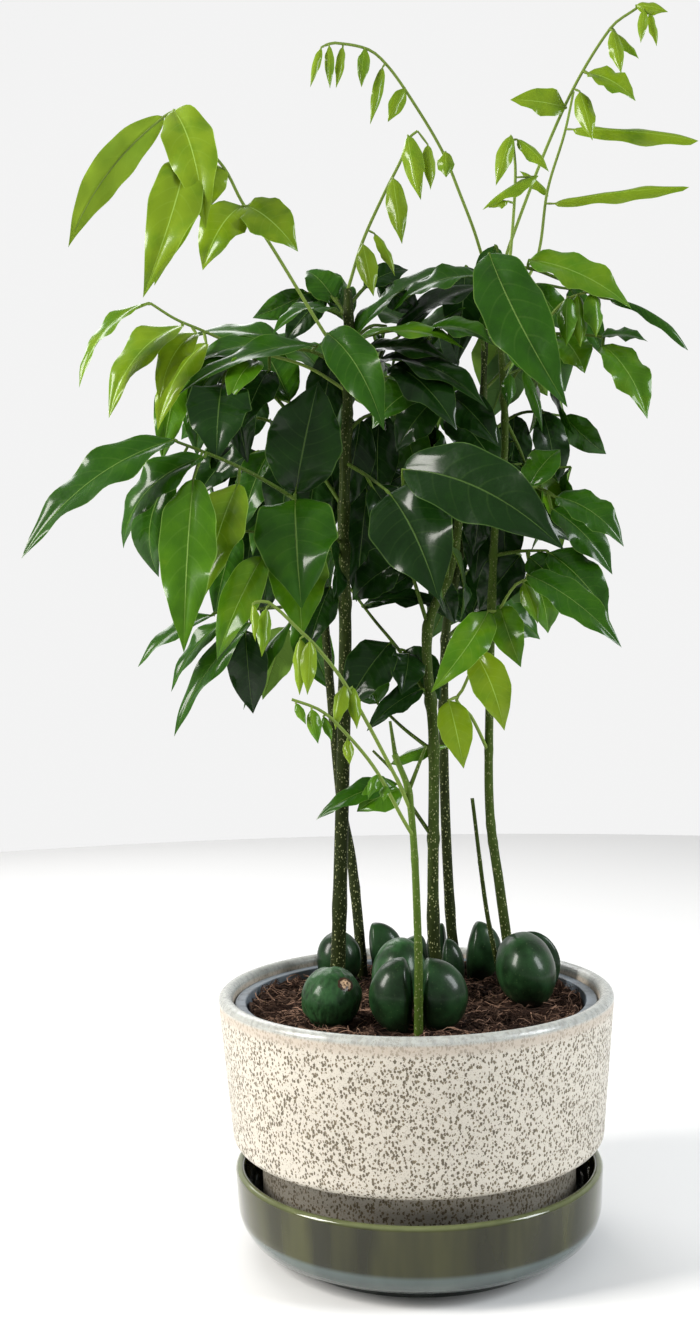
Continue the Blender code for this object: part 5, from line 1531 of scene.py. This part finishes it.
def add_blade(bm, layers, blade, settings):
    """The two sheets of a leaf, joined at its edge, with the lower one in the second material."""
    tone, chance = layers
    columns = YOUNG_COLUMNS if blade.young else COLUMNS
    rows = max(LEAST_ROWS, min(MOST_ROWS, round(blade.length / MM / ROW_LENGTH)))
    sheet = bmesh.new()
    sheet.loops.layers.uv.new("blade")
    bmesh.ops.create_grid(sheet, x_segments=columns, y_segments=rows, size=1, calc_uvs=True)
    bmesh.ops.triangulate(sheet, faces=sheet.faces[:])
    upper = list(sheet.verts)
    doubled = bmesh.ops.duplicate(sheet, geom=sheet.verts[:] + sheet.edges[:] + sheet.faces[:])["geom"]
    lower = [item for item in doubled if isinstance(item, bmesh.types.BMVert)]
    lower_faces = [item for item in doubled if isinstance(item, bmesh.types.BMFace)]
    bmesh.ops.reverse_faces(sheet, faces=lower_faces)
    for face in lower_faces:
        face.material_index = 1
    for verts, side in ((upper, 1), (lower, -1)):
        for vert in verts:
            across = math.copysign(abs(vert.co.x) ** COLUMN_SPREAD, vert.co.x)
            along = ((vert.co.y + 1) / 2) ** ROW_SPREAD
            vert.co = blade.point(across, along, side, settings.blade_thickness, settings.ripple)
    bmesh.ops.remove_doubles(sheet, verts=sheet.verts, dist=1e-6)
    for edge in sheet.edges:
        edge.smooth = len({face.material_index for face in edge.link_faces}) == 1
    mesh = bpy.data.meshes.new("blade")
    sheet.to_mesh(mesh)
    sheet.free()
    add_mesh(bm, mesh, (tone, blade.leaf.tone), (chance, blade.chance))


def stalk_line(blade):
    """A leaf's stalk, and its midrib as a ridge that runs out below the blade."""
    middle = blade.joint.lerp(blade.base, 0.5)
    line = [(blade.joint, blade.stalk * STALK_FOOT), (middle, blade.stalk * STALK_SWELLING),
            (blade.base, blade.stalk)]
    for part in range(1, MIDRIB_STEPS):
        along = part / MIDRIB_STEPS
        normal = blade.directions(along)[1]
        radius = blade.stalk * (MIDRIB_SHARE - MIDRIB_TAPER * along)
        line.append((blade.midrib(along) - normal * MIDRIB_DEPTH * MM, radius))
    return line


def swollen(line, radii, nodes, rng):
    """Radii along a stem, with a swelling at each node and small knots between them."""
    first, last = radii
    knots = [rng.uniform(0.12, 0.95) for _ in range(KNOTS)]
    made = []
    for place, part in line:
        radius = first + (last - first) * part
        for node in nodes:
            radius *= 1 + NODE_SWELLING * math.exp(-((place - node).length / (NODE_REACH * MM)) ** 2)
        for knot in knots:
            radius *= 1 + KNOT_SWELLING * math.exp(-((part - knot) / KNOT_REACH) ** 2)
        made.append((place, radius))
    return made


def grow(name, materials, settings):
    """The stem piece and the leaf piece of a seedling or a shoot."""
    bark, upper, under = materials
    young = name in SHOOTS
    rng = random.Random(name)
    lines = rachis_lines(name)
    blades = [Blade(leaf, [place for place, _ in line], rng)
              for line, frond in zip(lines, fronds_of(name)) for leaf in frond.leaves]
    bm = bmesh.new()
    tone = bm.verts.layers.float.new("tone")
    if not young:
        seedling = SEEDLINGS[name]
        nodes = [line[0][0] for line in lines]
        stem = swollen(smooth_line(stem_line(seedling), 2), seedling.radii, nodes, rng)
        add_mesh(bm, rod_mesh([stem], STEM_SIDES), (tone, BARK_TONES[name]))
    thick = YOUNG_RACHIS_RADIUS if young else RACHIS_RADIUS
    thinning = RACHIS_TIP_RADIUS - thick
    rachises = [[(place, thick + thinning * part) for place, part in line] for line in lines]
    if rachises:
        shade = YOUNG_RACHIS_TONE if young else RACHIS_TONE
        add_mesh(bm, rod_mesh(rachises, RACHIS_SIDES), (tone, shade))
    for blade in blades:
        shade = YOUNG_RACHIS_TONE if young else STALK_TONE
        add_mesh(bm, rod_mesh([stalk_line(blade)], STALK_SIDES), (tone, shade))
    piece = name + ("_rachis" if young else "_stem")
    new_piece(piece, mesh_from(bm, piece, 70), [bark], name)
    if not blades:
        return
    bm = bmesh.new()
    bm.loops.layers.uv.new("blade")
    layers = [bm.verts.layers.float.new(layer) for layer in ("tone", "chance")]
    for blade in blades:
        add_blade(bm, layers, blade, settings)
    piece = name + "_leaves"
    new_piece(piece, mesh_from(bm, piece, None), [upper, under], name)


def plant_finishes(settings):
    """Bark and the two sides of a leaf, made once and shared by seedlings and shoots."""
    names = ("seedling_bark", "leaf_upper", "leaf_under")
    if names[0] not in bpy.data.materials:
        bark_finish(settings)
        leaf_finish("leaf_upper", settings, True)
        leaf_finish("leaf_under", settings, False)
    return [bpy.data.materials[name] for name in names]


def build_seedlings():
    """All stems from the soil, with their grown leaves."""
    settings = bpy.context.scene.bean_plants
    for name in SEEDLINGS:
        grow(name, plant_finishes(settings), settings)


def build_shoots():
    """All young shoots, which the seedlings carry."""
    settings = bpy.context.scene.bean_plants
    for name in SHOOTS:
        grow(name, plant_finishes(settings), settings)


def add_lamp(name, power):
    """A soft area light, turned to the middle of the plant."""
    place, size, colour = LAMPS[name]
    light = bpy.data.lights.new(name, "AREA")
    light.shape = "RECTANGLE"
    light.size, light.size_y = size
    light.energy = power
    light.color = colour
    lamp = bpy.data.objects.new(name, light)
    lamp.location = place
    aim = Vector(LAMP_TARGET) - Vector(place)
    lamp.rotation_euler = aim.to_track_quat("-Z", "Y").to_euler()
    bpy.context.scene.collection.objects.link(lamp)


def build_stage():
    """A plain round floor, an even pale world with a brighter backdrop, and three soft lamps."""
    settings = bpy.context.scene.bean_stage
    bm = bmesh.new()
    bmesh.ops.create_circle(bm, cap_ends=True, segments=128, radius=FLOOR_RADIUS)
    mesh = mesh_from(bm, "floor")
    mesh.materials.append(stage_finish(settings.floor_colour))
    floor = bpy.data.objects.new("floor", mesh)
    bpy.context.scene.collection.objects.link(floor)
    world = bpy.data.worlds.new("studio")
    bpy.context.scene.world = world
    world.use_nodes = True
    maker = NodeMaker(world.node_tree)
    behind = maker.split(maker.add("ShaderNodeTexCoord", output="Generated"))[1].rise(0.35, 0.92)
    front, backdrop = [(strength,) * 3 for strength in (settings.front_strength, settings.backdrop_strength)]
    maker.set(maker.nodes["Background"], {"Color": maker.mix(behind, front, backdrop)})
    bpy.context.scene.view_settings.view_transform = "Standard"
    add_lamp("key", settings.key_power)
    add_lamp("fill", settings.fill_power)
    add_lamp("back", settings.key_power * BACK_SHARE)


def build_camera():
    """A camera in front of the pot at half the plant's height, turned a little to the left."""
    pitch, yaw, roll = (math.radians(angle) for angle in CAMERA_ANGLES)
    ahead = Vector((math.sin(yaw) * math.cos(pitch), math.cos(yaw) * math.cos(pitch), -math.sin(pitch)))
    right = Vector((math.cos(yaw), -math.sin(yaw), 0))
    above = right.cross(ahead)
    level = Matrix((right, above, -ahead)).transposed()
    camera = bpy.data.cameras.new("camera")
    camera.lens = CAMERA_LENS
    camera.sensor_width = CAMERA_SENSOR
    camera.clip_start = CAMERA_NEAR
    view = bpy.data.objects.new("camera", camera)
    view.matrix_world = Matrix.Translation(EYE * MM) @ (level @ Matrix.Rotation(roll, 3, "Z")).to_4x4()
    bpy.context.scene.collection.objects.link(view)
    bpy.context.scene.camera = view


class BEANPLANT_OT_saucer(bpy.types.Operator):
    """Make the glazed saucer"""

    bl_idname = "beanplant.saucer"
    bl_label = "Saucer"
    bl_options = {"REGISTER", "UNDO"}

    def execute(self, context):
        build_saucer()
        return {"FINISHED"}


class BEANPLANT_OT_pot(bpy.types.Operator):
    """Make the speckled pot"""

    bl_idname = "beanplant.pot"
    bl_label = "Pot"
    bl_options = {"REGISTER", "UNDO"}

    def execute(self, context):
        build_pot()
        return {"FINISHED"}


class BEANPLANT_OT_liner(bpy.types.Operator):
    """Make the plastic liner whose rim shows inside the pot"""

    bl_idname = "beanplant.liner"
    bl_label = "Liner"
    bl_options = {"REGISTER", "UNDO"}

    def execute(self, context):
        build_liner()
        return {"FINISHED"}


class BEANPLANT_OT_soil(bpy.types.Operator):
    """Make the soil with its crumbs and fibres"""

    bl_idname = "beanplant.soil"
    bl_label = "Soil"
    bl_options = {"REGISTER", "UNDO"}

    def execute(self, context):
        build_soil()
        return {"FINISHED"}


class BEANPLANT_OT_beans(bpy.types.Operator):
    """Make the split seeds"""

    bl_idname = "beanplant.beans"
    bl_label = "Beans"
    bl_options = {"REGISTER", "UNDO"}

    def execute(self, context):
        build_beans()
        return {"FINISHED"}


class BEANPLANT_OT_seedlings(bpy.types.Operator):
    """Make the stems and grown leaves of the seedlings"""

    bl_idname = "beanplant.seedlings"
    bl_label = "Seedlings"
    bl_options = {"REGISTER", "UNDO"}

    def execute(self, context):
        build_seedlings()
        return {"FINISHED"}


class BEANPLANT_OT_shoots(bpy.types.Operator):
    """Make the young shoots and their leaflets"""

    bl_idname = "beanplant.shoots"
    bl_label = "Shoots"
    bl_options = {"REGISTER", "UNDO"}

    def execute(self, context):
        build_shoots()
        return {"FINISHED"}


class BEANPLANT_OT_stage(bpy.types.Operator):
    """Make the floor, the lights and the camera"""

    bl_idname = "beanplant.stage"
    bl_label = "Stage"
    bl_options = {"REGISTER", "UNDO"}

    def execute(self, context):
        build_stage()
        build_camera()
        return {"FINISHED"}


PIECE_OPERATORS = (
    BEANPLANT_OT_saucer,
    BEANPLANT_OT_pot,
    BEANPLANT_OT_liner,
    BEANPLANT_OT_soil,
    BEANPLANT_OT_beans,
    BEANPLANT_OT_seedlings,
    BEANPLANT_OT_shoots,
    BEANPLANT_OT_stage,
)
SETTINGS = {
    "bean_pottery": PotterySettings,
    "bean_soil": SoilSettings,
    "bean_plants": PlantSettings,
    "bean_stage": StageSettings,
}


class BEANPLANT_PT_pieces(bpy.types.Panel):
    """Lists the settings of each group and the operators that make the pieces"""

    bl_idname = "BEANPLANT_PT_pieces"
    bl_label = "Bean Plant"
    bl_space_type = "VIEW_3D"
    bl_region_type = "UI"
    bl_category = "Bean Plant"

    def draw(self, context):
        for group, kind in SETTINGS.items():
            box = self.layout.box()
            settings = getattr(context.scene, group)
            for name in kind.__annotations__:
                box.prop(settings, name)
        for operator in PIECE_OPERATORS:
            self.layout.operator(operator.bl_idname)


def register():
    """Make the settings, the operators and the panel known, and hang the settings on the scene."""
    for kind in (*SETTINGS.values(), *PIECE_OPERATORS, BEANPLANT_PT_pieces):
        bpy.utils.register_class(kind)
    for group, kind in SETTINGS.items():
        setattr(bpy.types.Scene, group, bpy.props.PointerProperty(type=kind))


def unregister():
    """Take them off again."""
    for group in SETTINGS:
        delattr(bpy.types.Scene, group)
    for kind in (BEANPLANT_PT_pieces, *PIECE_OPERATORS, *SETTINGS.values()):
        bpy.utils.unregister_class(kind)


def main():
    """Make every piece in order."""
    register()
    for operator in PIECE_OPERATORS:
        group, name = operator.bl_idname.split(".")
        getattr(getattr(bpy.ops, group), name)()


if __name__ == "__main__":
    main()
